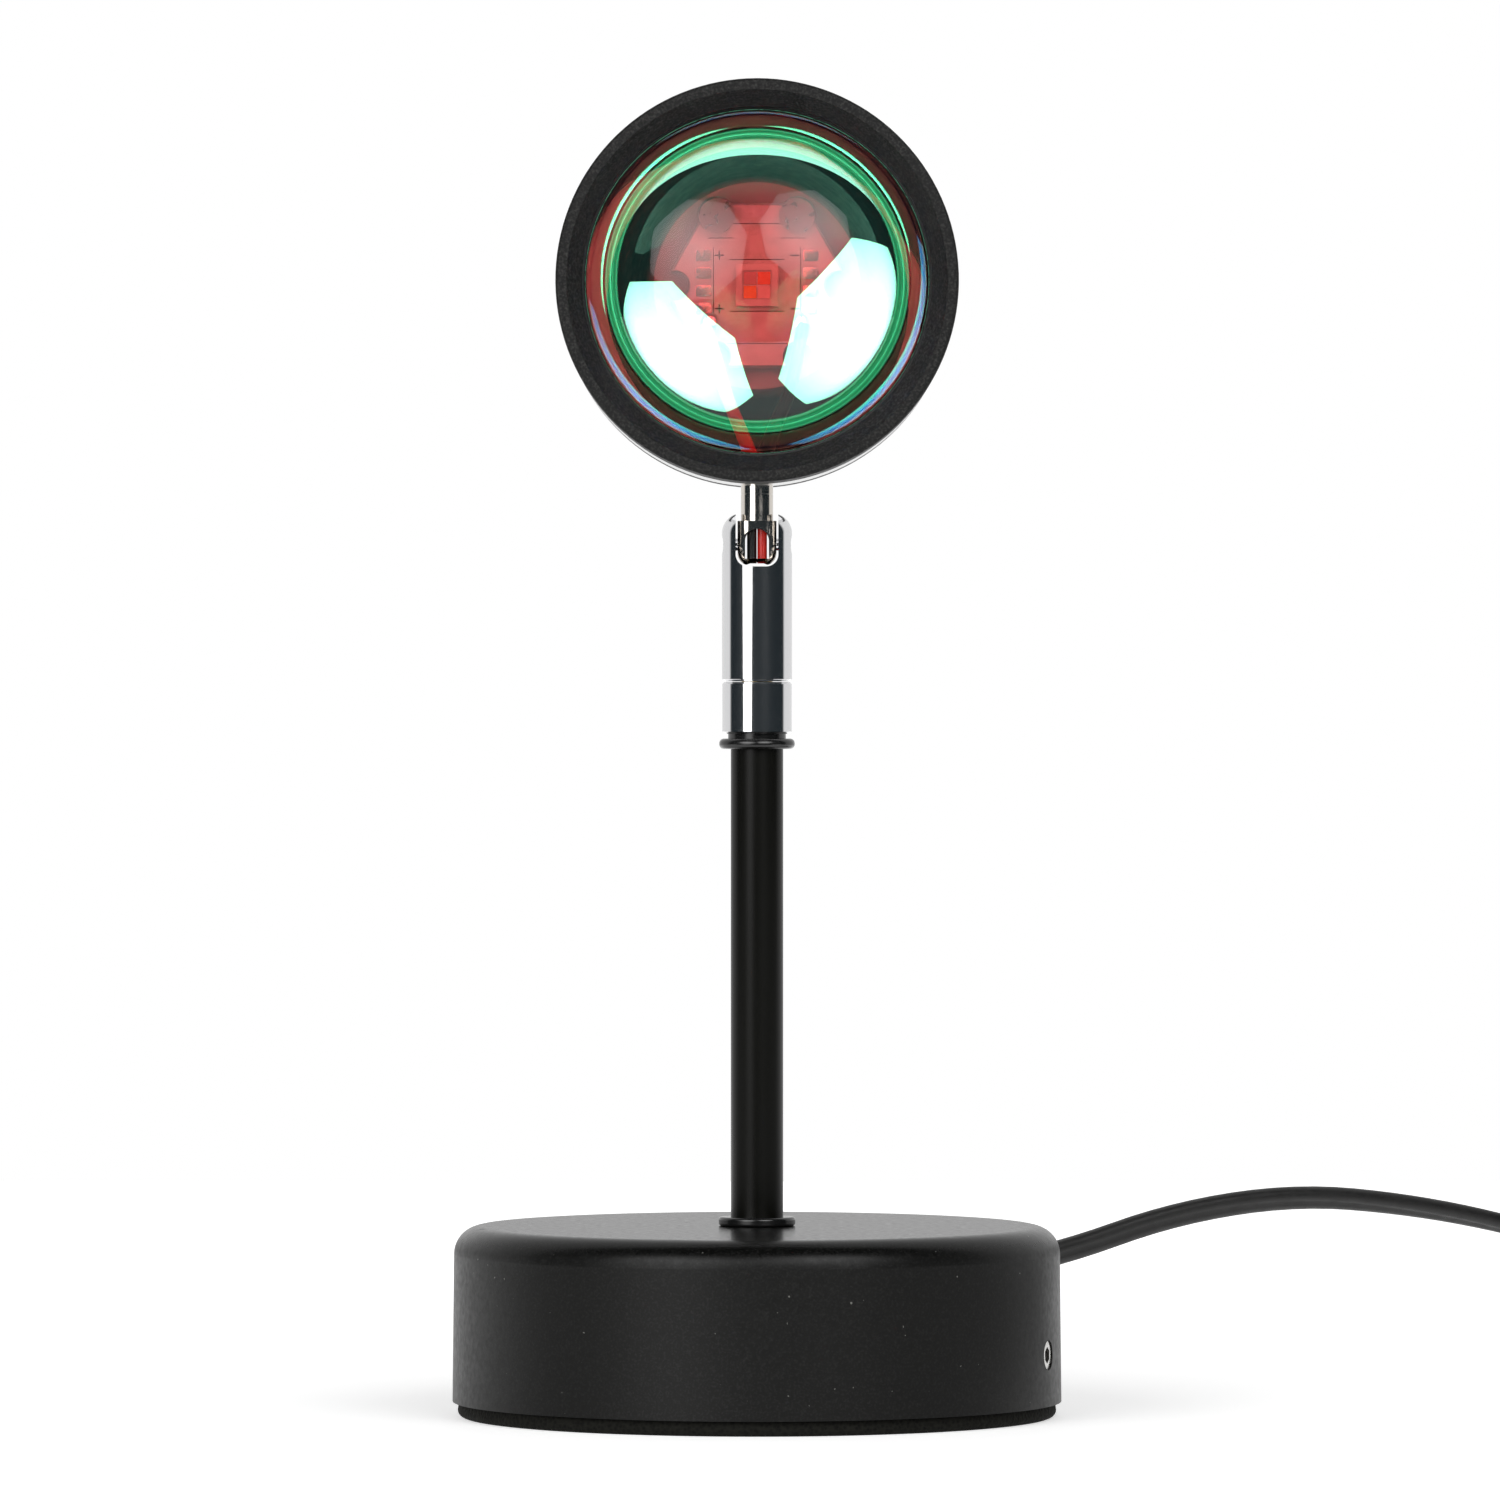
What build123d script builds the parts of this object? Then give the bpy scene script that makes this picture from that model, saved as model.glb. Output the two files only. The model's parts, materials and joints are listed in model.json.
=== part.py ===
from build123d import *
import os
from math import cos, pi, radians, sin, sqrt, tan

os.makedirs("parts", exist_ok=True)

# Projection lamp: a weighted round base, a thin pole, a chrome knuckle that swivels and tilts, and a
# drum-shaped head with a domed lens over a colour film. Millimetres, +Z up, the lamp faces -Y, and the
# origin is the middle of the foam pad's lower face.

# Driving dimensions of the base
base_diameter = 100.0
base_taper = 0.3
pad_thickness = 2.5
pad_inset = 0.7
pad_edge_radius = 1.2
base_height = 28.7
base_wall = 1.2
base_corner_radius = 4.5
plate_thickness = 1.5
plate_clearance = 0.3
tab_width = 10.0
tab_height = 11.0
weight_screw_gap = 0.65
weight_height = 12.0
weight_bore = 24.0
weight_edge = 1.0
set_screw_diameter = 4.8
set_screw_length = 7.0
set_screw_socket = 2.4
set_screw_socket_depth = 2.5
set_screw_height = 10.9
set_screw_azimuth = 72.0
thread_clearance = 0.05

# Driving dimensions of the pole and its fasteners
pole_diameter = 8.6
pole_bore = 4.6
pole_length = 76.8
spigot_diameter = 7.0
lower_spigot_length = 8.5
upper_spigot_length = 7.8
pole_washer_diameter = 12.6
pole_washer_thickness = 1.5
lock_washer_diameter = 13.0
lock_washer_thickness = 1.0
nut_across_flats = 12.0
nut_thickness = 4.0
o_ring_diameter = 12.4
o_ring_thickness = 1.7
spacer_diameter = 9.5
spacer_thickness = 0.8

# Driving dimensions of the swivel
collar_diameter = 11.4
collar_height = 8.5
collar_roof = 2.0
stem_diameter = 5.0
stem_bore = 3.6
stem_flange_diameter = 6.6
stem_flange_thickness = 1.1
running_clearance = 0.05
parting_gap = 0.1
wave_washer_thickness = 0.8
swivel_nut_thickness = 2.0
stop_pin_diameter = 1.2
stop_pin_height = 1.2
stop_pin_depth = 1.2
stop_pin_radius = 4.0
stop_web = 0.9
stop_clearance = 0.1

# Driving dimensions of the knuckle and the tilting tongue
knuckle_diameter = 11.5
knuckle_height = 27.6
knuckle_floor = 3.9
knuckle_bore = 7.0
knuckle_shoulder_radius = 3.3
slot_width = 7.0
slot_depth = 8.8
slot_corner_radius = 2.0
tongue_clearance = 0.3
tongue_edge_radius = 1.9
eye_radius = 3.35
eye_floor_gap = 0.25
tongue_shoulder = 3.9
window_width = 3.9
window_height = 4.9
window_below_pivot = 2.3
window_rim_diameter = 5.4
window_rim_depth = 0.45
pivot_screw_diameter = 3.0
pivot_tip_diameter = 2.0
pivot_tip_inset = 1.05
pivot_screw_inset = 0.2
pivot_slot_width = 0.5
pivot_slot_depth = 0.8
neck_diameter = 5.3
neck_length = 4.4
neck_spacer_gap = 0.05
neck_thread_diameter = 4.6
neck_thread_above = 3.6
neck_bore = 3.6
neck_nut_across_flats = 7.0
neck_nut_thickness = 2.6

# Driving dimensions of the head, given along its own axis from front to back
head_diameter = 65.0
head_axis_above_pivot = 42.2
bezel_front = -33.0
bezel_depth = 18.0
bezel_lip = 1.8
bezel_wall = 2.05
bezel_bevel_depth = 3.5
bezel_seat_thickness = 3.0
lens_seat_step = 1.05
lens_hold = 1.0
lens_flange_thickness = 3.0
lens_dome_gap = 0.4
lens_dome_height = 13.0
film_gap = 0.3
film_thickness = 0.15
gasket_thickness = 1.2
gasket_width = 2.4
body_length = 23.0
spigot_wall = 1.4
body_lip_thickness = 2.0
cap_length = 14.0
cap_wall = 3.0
cap_edge_radius = 3.0
cap_spigot_length = 1.0
cap_spigot_wall = 3.0
parting_chamfer = 0.35
sink_thickness = 3.4
sink_ledge = 1.2
fit_clearance = 0.2
tube_wall = 0.8
tube_length = 15.5
post_diameter = 24.0
post_length = 15.0
post_spigot_diameter = 12.0
post_hole_depth = 5.6
board_across_flats = 19.0
board_thickness = 1.6
board_sides = 6
board_notch_radius = 1.8
board_notch_circle = 19.4
board_screw_angle = 30.0
board_screw_diameter = 2.4
board_screw_head = 4.4
board_screw_head_height = 1.5
board_screw_length = 5.0
emitter_size = 5.0
emitter_height = 0.9
emitter_window = 3.6
emitter_window_depth = 0.4
chip_size = 1.5
chip_pitch = 1.65
chip_height = 0.2

# Driving dimensions of the wires and the cord
wire_diameter = 1.6
wire_pitch = 1.7
wire_end_gap = 0.3
wire_bend_radius = 5.0
cord_diameter = 3.8
cord_exit_azimuth = 162.0
cord_exit_height = 18.0
gland_neck_diameter = 7.0
gland_flange_diameter = 10.0
gland_flange_thickness = 1.2
gland_inner_flange_diameter = 9.0
gland_inner_flange_thickness = 2.0
gland_boot_length = 10.5
gland_boot_diameter = 7.4
gland_tip_diameter = 5.4
arc_share = 0.45

# Driving dimensions of the put-away coil and its tie
coil_centre_x = 168.0
coil_centre_y = 90.0
coil_outer_radius = 25.4
coil_pitch = 4.4
coil_layers = 4
coil_layer_turns = 1.625
coil_climb_turns = 0.5
tie_thickness = 1.0
tie_width = 6.0
tie_slack = 0.4

# Driving dimensions of the switch on the cord
switch_length = 50.0
switch_width = 20.0
switch_half_height = 7.0
switch_corner_radius = 7.0
switch_edge_radius = 2.4
switch_wall = 1.6
switch_front_y = 45.0
switch_boss_diameter = 5.4
switch_boss_spacing = 34.0
switch_screw_diameter = 2.2
switch_screw_head = 4.0
switch_screw_head_height = 1.4
switch_screw_length = 9.0
button_diameter = 8.6
button_clearance = 0.15
button_flange_diameter = 11.0
button_flange_thickness = 1.2
button_proud = 1.6
button_travel = 1.5
button_dish_depth = 0.4
module_size = 9.0
module_gap = 0.2

# Driving dimensions of the plug
plug_x = 149.4
plug_back_y = 0.0
plug_length = 24.0
plug_width = 16.0
plug_height = 8.0
plug_edge_radius = 1.8
plug_boot_length = 5.0
plug_boot_diameter = 6.4
grip_groove_count = 5
grip_groove_pitch = 2.4
grip_groove_width = 1.0
grip_groove_depth = 0.5
shell_width = 12.0
shell_height = 4.5
shell_wall = 0.3
shell_length = 18.75
shell_window_width = 2.4
shell_window_length = 2.0
shell_window_spacing = 4.6
shell_window_setback = 6.2
insert_height = 1.9
insert_side_gap = 0.1
insert_setback = 0.8
contact_width = 1.2
contact_length = 7.5
contact_height = 0.15
contact_spacing = (-3.5, -1.0, 1.0, 3.5)


# Heights that follow from the driving dimensions
base_rim = pad_thickness
base_top = base_rim + base_height
pole_bottom = base_top + pole_washer_thickness
pole_top = pole_bottom + pole_length
spacer_bottom = pole_top + o_ring_thickness
collar_bottom = spacer_bottom + spacer_thickness
collar_top = collar_bottom + collar_height
stem_seat = collar_top - collar_roof
knuckle_bottom = collar_top + parting_gap
knuckle_top = knuckle_bottom + knuckle_height
swivel_floor = knuckle_bottom + knuckle_floor
swivel_nut_bottom = swivel_floor + wave_washer_thickness
stem_top = swivel_nut_bottom + swivel_nut_thickness
slot_floor = knuckle_top - slot_depth
pivot_height = slot_floor + eye_floor_gap + eye_radius
shoulder_height = pivot_height + tongue_shoulder
neck_top = shoulder_height + neck_length
head_axis_height = pivot_height + head_axis_above_pivot

# Stations along the head's axis that follow from the driving dimensions
bezel_back = bezel_front + bezel_depth
lens_front = bezel_front + bezel_bevel_depth + bezel_seat_thickness
lens_back = lens_front + lens_flange_thickness
gasket_back = lens_back + gasket_thickness
body_back = bezel_back + body_length
cap_back = body_back + cap_length
sink_back = body_back - cap_spigot_length
sink_front = sink_back - sink_thickness
post_front = sink_front - post_length
board_front = post_front - board_thickness
emitter_front = board_front - emitter_height

# Diameters of the head that follow from its outside, wall by wall inwards
head_radius = head_diameter / 2
thread_radius = head_radius - bezel_wall
body_spigot_diameter = 2 * (thread_radius - thread_clearance)
body_bore = body_spigot_diameter - 2 * spigot_wall
seat_radius = thread_radius - lens_seat_step
lens_diameter = 2 * (seat_radius - fit_clearance)
bezel_opening = lens_diameter - 2 * lens_hold
gasket_inside = lens_diameter / 2 - gasket_width
film_diameter = 2 * (gasket_inside - film_gap)
sink_bore = body_bore / 2 + sink_ledge
cap_bore = 2 * (sink_bore - fit_clearance - cap_spigot_wall)

head_axis = Axis((0, 0, head_axis_height), (0, 1, 0))
head_profile = Plane((0, 0, head_axis_height), x_dir=(0, 1, 0), z_dir=(1, 0, 0))


def across_head(station):
    """The plane square to the head's axis at a station, with its X to the lamp's left and Y up."""
    return Plane((0, station, head_axis_height), x_dir=(-1, 0, 0), z_dir=(0, 1, 0))


def radial_plane(azimuth, height, radius=0.0):
    """A plane that faces outwards from the lamp's axis, at an azimuth counted from -Y towards +X."""
    outward = Vector(sin(radians(azimuth)), -cos(radians(azimuth)), 0)
    return Plane(outward * radius + Vector(0, 0, height), x_dir=(0, 0, 1), z_dir=outward)


def ring(outer, inner):
    """A flat ring in the current sketch."""
    Circle(outer / 2)
    Circle(inner / 2, mode=Mode.SUBTRACT)


def corner_radii(points, shares=arc_share):
    """The largest tangent arc at each inner point of a route, from its shorter run and its turn."""
    places = [Vector(*p) for p in points]
    radii = []
    for before, here, after in zip(places, places[1:], places[2:]):
        turn = radians((here - before).get_angle(after - here))
        shorter = min((here - before).length, (after - here).length)
        radii.append(shares * shorter / tan(turn / 2))
    return radii


def report_tube(name, tube, length, diameter, radii):
    """Print a tube's bends, and its volume beside its section times its length."""
    section = pi * diameter**2 / 4
    tightest = min(radii) if radii else 0.0
    print(f"{name}: radii {[round(r, 1) for r in radii]}, tightest {tightest / diameter:.1f} diameters")
    print(f"{name}: length {length:.1f}, volume {tube.volume:.1f}, section x length {section * length:.1f}")


# Foam pad under the base
with BuildPart() as foam_pad:
    with BuildSketch():
        Circle(base_diameter / 2 - pad_inset)
    extrude(amount=pad_thickness)
    fillet(foam_pad.edges().group_by(Axis.Z)[0], pad_edge_radius)
foam_pad.part.label = "foam_pad"
export_step(foam_pad.part, "parts/foam_pad.step")

# Base shell: one drawn cup, open below, with holes for the pole, the two set screws and the cord gland
with BuildPart() as base_shell:
    rim_radius = base_diameter / 2
    top_radius = rim_radius - base_taper
    pole_hole = spigot_diameter / 2 + fit_clearance
    with BuildSketch(Plane.XZ) as shell_profile:
        with BuildLine():
            Polyline(
                (rim_radius, base_rim),
                (top_radius, base_top),
                (pole_hole, base_top),
                (pole_hole, base_top - base_wall),
                (top_radius - base_wall, base_top - base_wall),
                (rim_radius - base_wall, base_rim),
                close=True,
            )
        make_face()
        outer_corner = shell_profile.vertices().group_by(Axis.Y)[-1].sort_by(Axis.X)[-1]
        fillet(outer_corner, base_corner_radius)
        inner_corner = shell_profile.vertices().sort_by_distance(
            (top_radius - base_wall, base_top - base_wall)
        )[0]
        fillet(inner_corner, base_corner_radius - base_wall)
    revolve(axis=Axis.Z)
    for azimuth in (set_screw_azimuth, set_screw_azimuth + 180):
        with BuildSketch(radial_plane(azimuth, set_screw_height)):
            Circle(set_screw_diameter / 2 + thread_clearance)
        extrude(amount=base_diameter, mode=Mode.SUBTRACT)
    with BuildSketch(radial_plane(cord_exit_azimuth, cord_exit_height)):
        Circle(gland_neck_diameter / 2 + thread_clearance)
    extrude(amount=base_diameter, mode=Mode.SUBTRACT)
base_shell.part.label = "base_shell"
export_step(base_shell.part, "parts/base_shell.step")

# Bottom plate with two turned-up tabs that take the set screws
plate_radius = base_diameter / 2 - base_wall - plate_clearance
plate_top = base_rim + plate_thickness
tab_face = sqrt((plate_radius - plate_clearance) ** 2 - (tab_width / 2) ** 2) - plate_clearance
with BuildPart() as bottom_plate:
    with BuildSketch(Plane.XY.offset(base_rim)):
        Circle(plate_radius)
    extrude(amount=plate_thickness)
    for azimuth in (set_screw_azimuth, set_screw_azimuth + 180):
        with BuildSketch(radial_plane(azimuth, plate_top, tab_face - plate_thickness)):
            Rectangle(tab_height, tab_width, align=(Align.MIN, Align.CENTER))
        extrude(amount=plate_thickness)
        with BuildSketch(radial_plane(azimuth, set_screw_height)):
            Circle(set_screw_diameter / 2 + thread_clearance)
        extrude(amount=base_diameter, mode=Mode.SUBTRACT)
bottom_plate.part.label = "bottom_plate"
export_step(bottom_plate.part, "parts/bottom_plate.step")

# Cast counterweight standing on the bottom plate, between the inner ends of the set screws
screw_face = base_diameter / 2 - base_taper - thread_clearance
weight_radius = screw_face - set_screw_length - weight_screw_gap
with BuildPart() as counterweight:
    with BuildSketch(Plane.XY.offset(plate_top)):
        ring(2 * weight_radius, weight_bore)
    extrude(amount=weight_height)
    chamfer(counterweight.edges().group_by(Axis.Z)[-1], weight_edge)
counterweight.part.label = "counterweight"
export_step(counterweight.part, "parts/counterweight.step")

# Two socket set screws, flush with the wall of the base
with BuildPart() as side_screws:
    for azimuth in (set_screw_azimuth, set_screw_azimuth + 180):
        with BuildSketch(radial_plane(azimuth, set_screw_height, screw_face)):
            Circle(set_screw_diameter / 2)
        extrude(amount=-set_screw_length)
        with BuildSketch(radial_plane(azimuth, set_screw_height, screw_face)):
            RegularPolygon(set_screw_socket / 2, 6, major_radius=False)
        extrude(amount=-set_screw_socket_depth, mode=Mode.SUBTRACT)
side_screws.part.label = "side_screws"
export_step(side_screws.part, "parts/side_screws.step")

# Cord gland, moulded round the cord: an inner flange, a neck in the wall, an outer flange and a tapered boot
wall_radius = base_diameter / 2 - base_taper - base_wall
wall_inside = sqrt(wall_radius**2 - (gland_inner_flange_diameter / 2) ** 2) - thread_clearance
wall_outside = base_diameter / 2 + thread_clearance
gland_end = wall_outside + gland_flange_thickness + gland_boot_length
with BuildPart() as cord_gland:
    with BuildSketch(radial_plane(cord_exit_azimuth, cord_exit_height, wall_inside)):
        Circle(gland_inner_flange_diameter / 2)
    extrude(amount=-gland_inner_flange_thickness)
    with BuildSketch(radial_plane(cord_exit_azimuth, cord_exit_height, wall_inside)):
        Circle(gland_neck_diameter / 2)
    extrude(amount=wall_outside - wall_inside)
    with BuildSketch(radial_plane(cord_exit_azimuth, cord_exit_height, wall_outside)):
        Circle(gland_flange_diameter / 2)
    extrude(amount=gland_flange_thickness)
    with BuildSketch(radial_plane(cord_exit_azimuth, cord_exit_height, gland_end - gland_boot_length)):
        Circle(gland_boot_diameter / 2)
    with BuildSketch(radial_plane(cord_exit_azimuth, cord_exit_height, gland_end)):
        Circle(gland_tip_diameter / 2)
    loft()
cord_gland.part.label = "cord_gland"
export_step(cord_gland.part, "parts/cord_gland.step")

# Pole: a tube with a threaded spigot at each end
with BuildPart() as pole:
    with BuildSketch(Plane.XY.offset(pole_bottom)):
        Circle(pole_diameter / 2)
    extrude(amount=pole_length)
    with BuildSketch(Plane.XY.offset(pole_bottom)):
        Circle(spigot_diameter / 2)
    extrude(amount=-lower_spigot_length)
    with BuildSketch(Plane.XY.offset(pole_top)):
        Circle(spigot_diameter / 2)
    extrude(amount=upper_spigot_length)
    with BuildSketch(Plane.XY.offset(pole_bottom - lower_spigot_length)):
        Circle(pole_bore / 2)
    extrude(amount=lower_spigot_length + pole_length + upper_spigot_length, mode=Mode.SUBTRACT)
pole.part.label = "pole"
export_step(pole.part, "parts/pole.step")

# Flat washer between the base and the pole
spigot_hole = spigot_diameter + 2 * fit_clearance
with BuildPart() as pole_washer:
    with BuildSketch(Plane.XY.offset(base_top)):
        ring(pole_washer_diameter, spigot_hole)
    extrude(amount=pole_washer_thickness)
    washer_rims = pole_washer.edges().filter_by(GeomType.CIRCLE).group_by(SortBy.RADIUS)[-1]
    fillet(washer_rims, pole_washer_thickness / 3)
pole_washer.part.label = "pole_washer"
export_step(pole_washer.part, "parts/pole_washer.step")

# Lock washer and nut inside the base
ceiling = base_top - base_wall
with BuildPart() as lock_washer:
    with BuildSketch(Plane.XY.offset(ceiling - lock_washer_thickness)):
        ring(lock_washer_diameter, spigot_hole)
    extrude(amount=lock_washer_thickness)
lock_washer.part.label = "lock_washer"
export_step(lock_washer.part, "parts/lock_washer.step")

with BuildPart() as pole_nut:
    with BuildSketch(Plane.XY.offset(ceiling - lock_washer_thickness - nut_thickness)):
        RegularPolygon(nut_across_flats / 2, 6, major_radius=False)
        Circle(spigot_diameter / 2 + thread_clearance, mode=Mode.SUBTRACT)
    extrude(amount=nut_thickness)
pole_nut.part.label = "pole_nut"
export_step(pole_nut.part, "parts/pole_nut.step")

# Rubber ring and narrow spacer on top of the pole
with BuildPart() as o_ring:
    with BuildSketch(Plane.XY.offset(pole_top)):
        ring(o_ring_diameter, spigot_hole)
    extrude(amount=o_ring_thickness)
    o_ring_rims = o_ring.edges().filter_by(GeomType.CIRCLE).group_by(SortBy.RADIUS)[-1]
    fillet(o_ring_rims, 0.45 * o_ring_thickness)
o_ring.part.label = "o_ring"
export_step(o_ring.part, "parts/o_ring.step")

with BuildPart() as collar_spacer:
    with BuildSketch(Plane.XY.offset(spacer_bottom)):
        ring(spacer_diameter, spigot_hole)
    extrude(amount=spacer_thickness)
collar_spacer.part.label = "collar_spacer"
export_step(collar_spacer.part, "parts/collar_spacer.step")

# Lower collar, screwed onto the pole, with a roof that carries the swivel
stem_hole = stem_diameter + 2 * running_clearance
with BuildPart() as lower_collar:
    with BuildSketch(Plane.XY.offset(collar_bottom)):
        Circle(collar_diameter / 2)
    extrude(amount=collar_height)
    with BuildSketch(Plane.XY.offset(collar_bottom)):
        Circle(spigot_diameter / 2 + thread_clearance)
    extrude(amount=collar_height - collar_roof, mode=Mode.SUBTRACT)
    with BuildSketch(Plane.XY.offset(stem_seat)):
        Circle(stem_hole / 2)
    extrude(amount=collar_roof, mode=Mode.SUBTRACT)
    with BuildSketch(Plane.XY.offset(collar_top)):
        with Locations((0, stop_pin_radius)):
            Circle(stop_pin_diameter / 2)
    extrude(amount=-stop_pin_depth, mode=Mode.SUBTRACT)
    outer_edges = lower_collar.edges().filter_by(GeomType.CIRCLE).group_by(SortBy.RADIUS)[-1]
    chamfer(outer_edges, parting_chamfer)
lower_collar.part.label = "lower_collar"
export_step(lower_collar.part, "parts/lower_collar.step")

# Stop pin that keeps the swivel from winding up the wires
with BuildPart() as stop_pin:
    with BuildSketch(Plane.XY.offset(collar_top - stop_pin_depth)):
        with Locations((0, stop_pin_radius)):
            Circle(stop_pin_diameter / 2)
    extrude(amount=stop_pin_depth + stop_pin_height)
stop_pin.part.label = "stop_pin"
export_step(stop_pin.part, "parts/stop_pin.step")

# Hollow flanged stem, wave washer and round nut that hold the knuckle down on the collar
with BuildPart() as swivel_stem:
    with BuildSketch(Plane.XY.offset(stem_seat)):
        ring(stem_flange_diameter, stem_bore)
    extrude(amount=-stem_flange_thickness)
    with BuildSketch(Plane.XY.offset(stem_seat)):
        ring(stem_diameter, stem_bore)
    extrude(amount=stem_top - stem_seat)
swivel_stem.part.label = "swivel_stem"
export_step(swivel_stem.part, "parts/swivel_stem.step")

with BuildPart() as wave_washer:
    with BuildSketch(Plane.XY.offset(swivel_floor)):
        ring(stem_flange_diameter, stem_hole)
    extrude(amount=wave_washer_thickness)
wave_washer.part.label = "wave_washer"
export_step(wave_washer.part, "parts/wave_washer.step")

with BuildPart() as swivel_nut:
    with BuildSketch(Plane.XY.offset(swivel_nut_bottom)):
        ring(stem_flange_diameter, stem_diameter)
    extrude(amount=swivel_nut_thickness)
swivel_nut.part.label = "swivel_nut"
export_step(swivel_nut.part, "parts/swivel_nut.step")

# Knuckle body: round shoulders, a fork slot with a rounded floor, and a track for the stop pin
with BuildPart() as knuckle_body:
    with BuildSketch(Plane.XY.offset(knuckle_bottom)):
        Circle(knuckle_diameter / 2)
    extrude(amount=knuckle_height)
    fillet(knuckle_body.edges().group_by(Axis.Z)[-1], knuckle_shoulder_radius)
    chamfer(knuckle_body.edges().group_by(Axis.Z)[0], parting_chamfer)
    with BuildSketch(Plane.XZ) as fork_slot:
        with Locations((0, slot_floor)):
            Rectangle(slot_width, 2 * slot_depth, align=(Align.CENTER, Align.MIN))
        fillet(fork_slot.vertices().group_by(Axis.Y)[0], slot_corner_radius)
    extrude(amount=knuckle_diameter, both=True, mode=Mode.SUBTRACT)
    with BuildSketch(Plane.XY.offset(knuckle_bottom)):
        Circle(stem_hole / 2)
    extrude(amount=knuckle_height, mode=Mode.SUBTRACT)
    with BuildSketch(Plane.XY.offset(swivel_floor)):
        Circle(knuckle_bore / 2)
    extrude(amount=slot_floor - swivel_floor, mode=Mode.SUBTRACT)
    with BuildSketch(Plane.XY.offset(knuckle_bottom)):
        ring(2 * stop_pin_radius + stop_pin_diameter + 2 * stop_clearance,
             2 * stop_pin_radius - stop_pin_diameter - 2 * stop_clearance)
        with Locations((0, -stop_pin_radius)):
            Rectangle(stop_web, 2 * stop_pin_diameter, mode=Mode.SUBTRACT)
    extrude(amount=stop_pin_height + stop_clearance, mode=Mode.SUBTRACT)
    with BuildSketch(Plane.YZ):
        with Locations((0, pivot_height)):
            Circle(pivot_screw_diameter / 2 + thread_clearance)
    extrude(amount=knuckle_diameter, both=True, mode=Mode.SUBTRACT)
knuckle_body.part.label = "knuckle_body"
export_step(knuckle_body.part, "parts/knuckle_body.step")

# Two pivot screws: a slotted threaded part in the cheek and a plain tip in the tongue
cheek_face = knuckle_diameter / 2 - pivot_screw_inset
cheek_inside = slot_width / 2
tongue_half = slot_width / 2 - tongue_clearance
tip_end = tongue_half - pivot_tip_inset
with BuildPart() as pivot_screws:
    for side in (1, -1):
        with BuildSketch(Plane((side * cheek_inside, 0, pivot_height), x_dir=(0, 1, 0), z_dir=(side, 0, 0))):
            Circle(pivot_screw_diameter / 2)
        extrude(amount=cheek_face - cheek_inside)
        with BuildSketch(Plane((side * cheek_inside, 0, pivot_height), x_dir=(0, 1, 0), z_dir=(-side, 0, 0))):
            Circle(pivot_tip_diameter / 2)
        extrude(amount=cheek_inside - tip_end)
        with BuildSketch(Plane((side * cheek_face, 0, pivot_height), x_dir=(0, 1, 0), z_dir=(-side, 0, 0))):
            Rectangle(pivot_slot_width, 2 * pivot_screw_diameter)
        extrude(amount=pivot_slot_depth, mode=Mode.SUBTRACT)
pivot_screws.part.label = "pivot_screws"
export_step(pivot_screws.part, "parts/pivot_screws.step")

# Tongue: a round-edged eye on the pivot, a wire window right through it, a shoulder and a hollow neck
neck_thread_top = head_axis_height - body_bore / 2 + neck_thread_above
with BuildPart() as tongue:
    with BuildSketch(Plane.YZ):
        with Locations((0, pivot_height)):
            Circle(eye_radius)
            Rectangle(2 * eye_radius, tongue_shoulder, align=(Align.CENTER, Align.MIN))
    extrude(amount=tongue_half, both=True)
    flank_edges = tongue.faces().filter_by(Axis.X).edges()
    fillet(flank_edges - flank_edges.group_by(Axis.Z)[-1], tongue_edge_radius)
    with BuildSketch(Plane.XY.offset(shoulder_height)):
        Circle(neck_diameter / 2)
    extrude(amount=neck_length)
    with BuildSketch(Plane.XY.offset(neck_top)):
        Circle(neck_thread_diameter / 2)
    extrude(amount=neck_thread_top - neck_top)
    with BuildSketch(Plane.XZ):
        with Locations((0, pivot_height - window_below_pivot)):
            Rectangle(window_width, window_height - window_width / 2, align=(Align.CENTER, Align.MIN))
        with Locations((0, pivot_height - window_below_pivot + window_height - window_width / 2)):
            Circle(window_width / 2)
    extrude(amount=knuckle_diameter, both=True, mode=Mode.SUBTRACT)
    for front in (1, -1):
        with BuildSketch(Plane.XZ.offset(front * (eye_radius - window_rim_depth))):
            with Locations((0, pivot_height - window_below_pivot + window_height - window_rim_diameter / 2)):
                Circle(window_rim_diameter / 2)
        extrude(amount=front * knuckle_diameter, mode=Mode.SUBTRACT)
    with BuildSketch(Plane.XY.offset(slot_floor)):
        Circle(neck_bore / 2)
    extrude(amount=neck_thread_top - slot_floor, mode=Mode.SUBTRACT)
    with BuildSketch(Plane.YZ):
        with Locations((0, pivot_height)):
            Circle(pivot_tip_diameter / 2 + running_clearance)
    extrude(amount=knuckle_diameter, both=True, mode=Mode.SUBTRACT)
tongue.part.label = "tongue"
export_step(tongue.part, "parts/tongue.step")

# Saddle spacer between the neck and the round underside of the head
with BuildPart() as neck_spacer:
    with BuildSketch(Plane.XY.offset(neck_top + neck_spacer_gap)):
        ring(neck_diameter, neck_thread_diameter + 2 * thread_clearance)
    extrude(amount=head_axis_height - head_radius - neck_top + neck_diameter)
    with BuildSketch(across_head(-neck_diameter)):
        Circle(head_radius + thread_clearance)
    extrude(amount=2 * neck_diameter, mode=Mode.SUBTRACT)
neck_spacer.part.label = "neck_spacer"
export_step(neck_spacer.part, "parts/neck_spacer.step")

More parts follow.
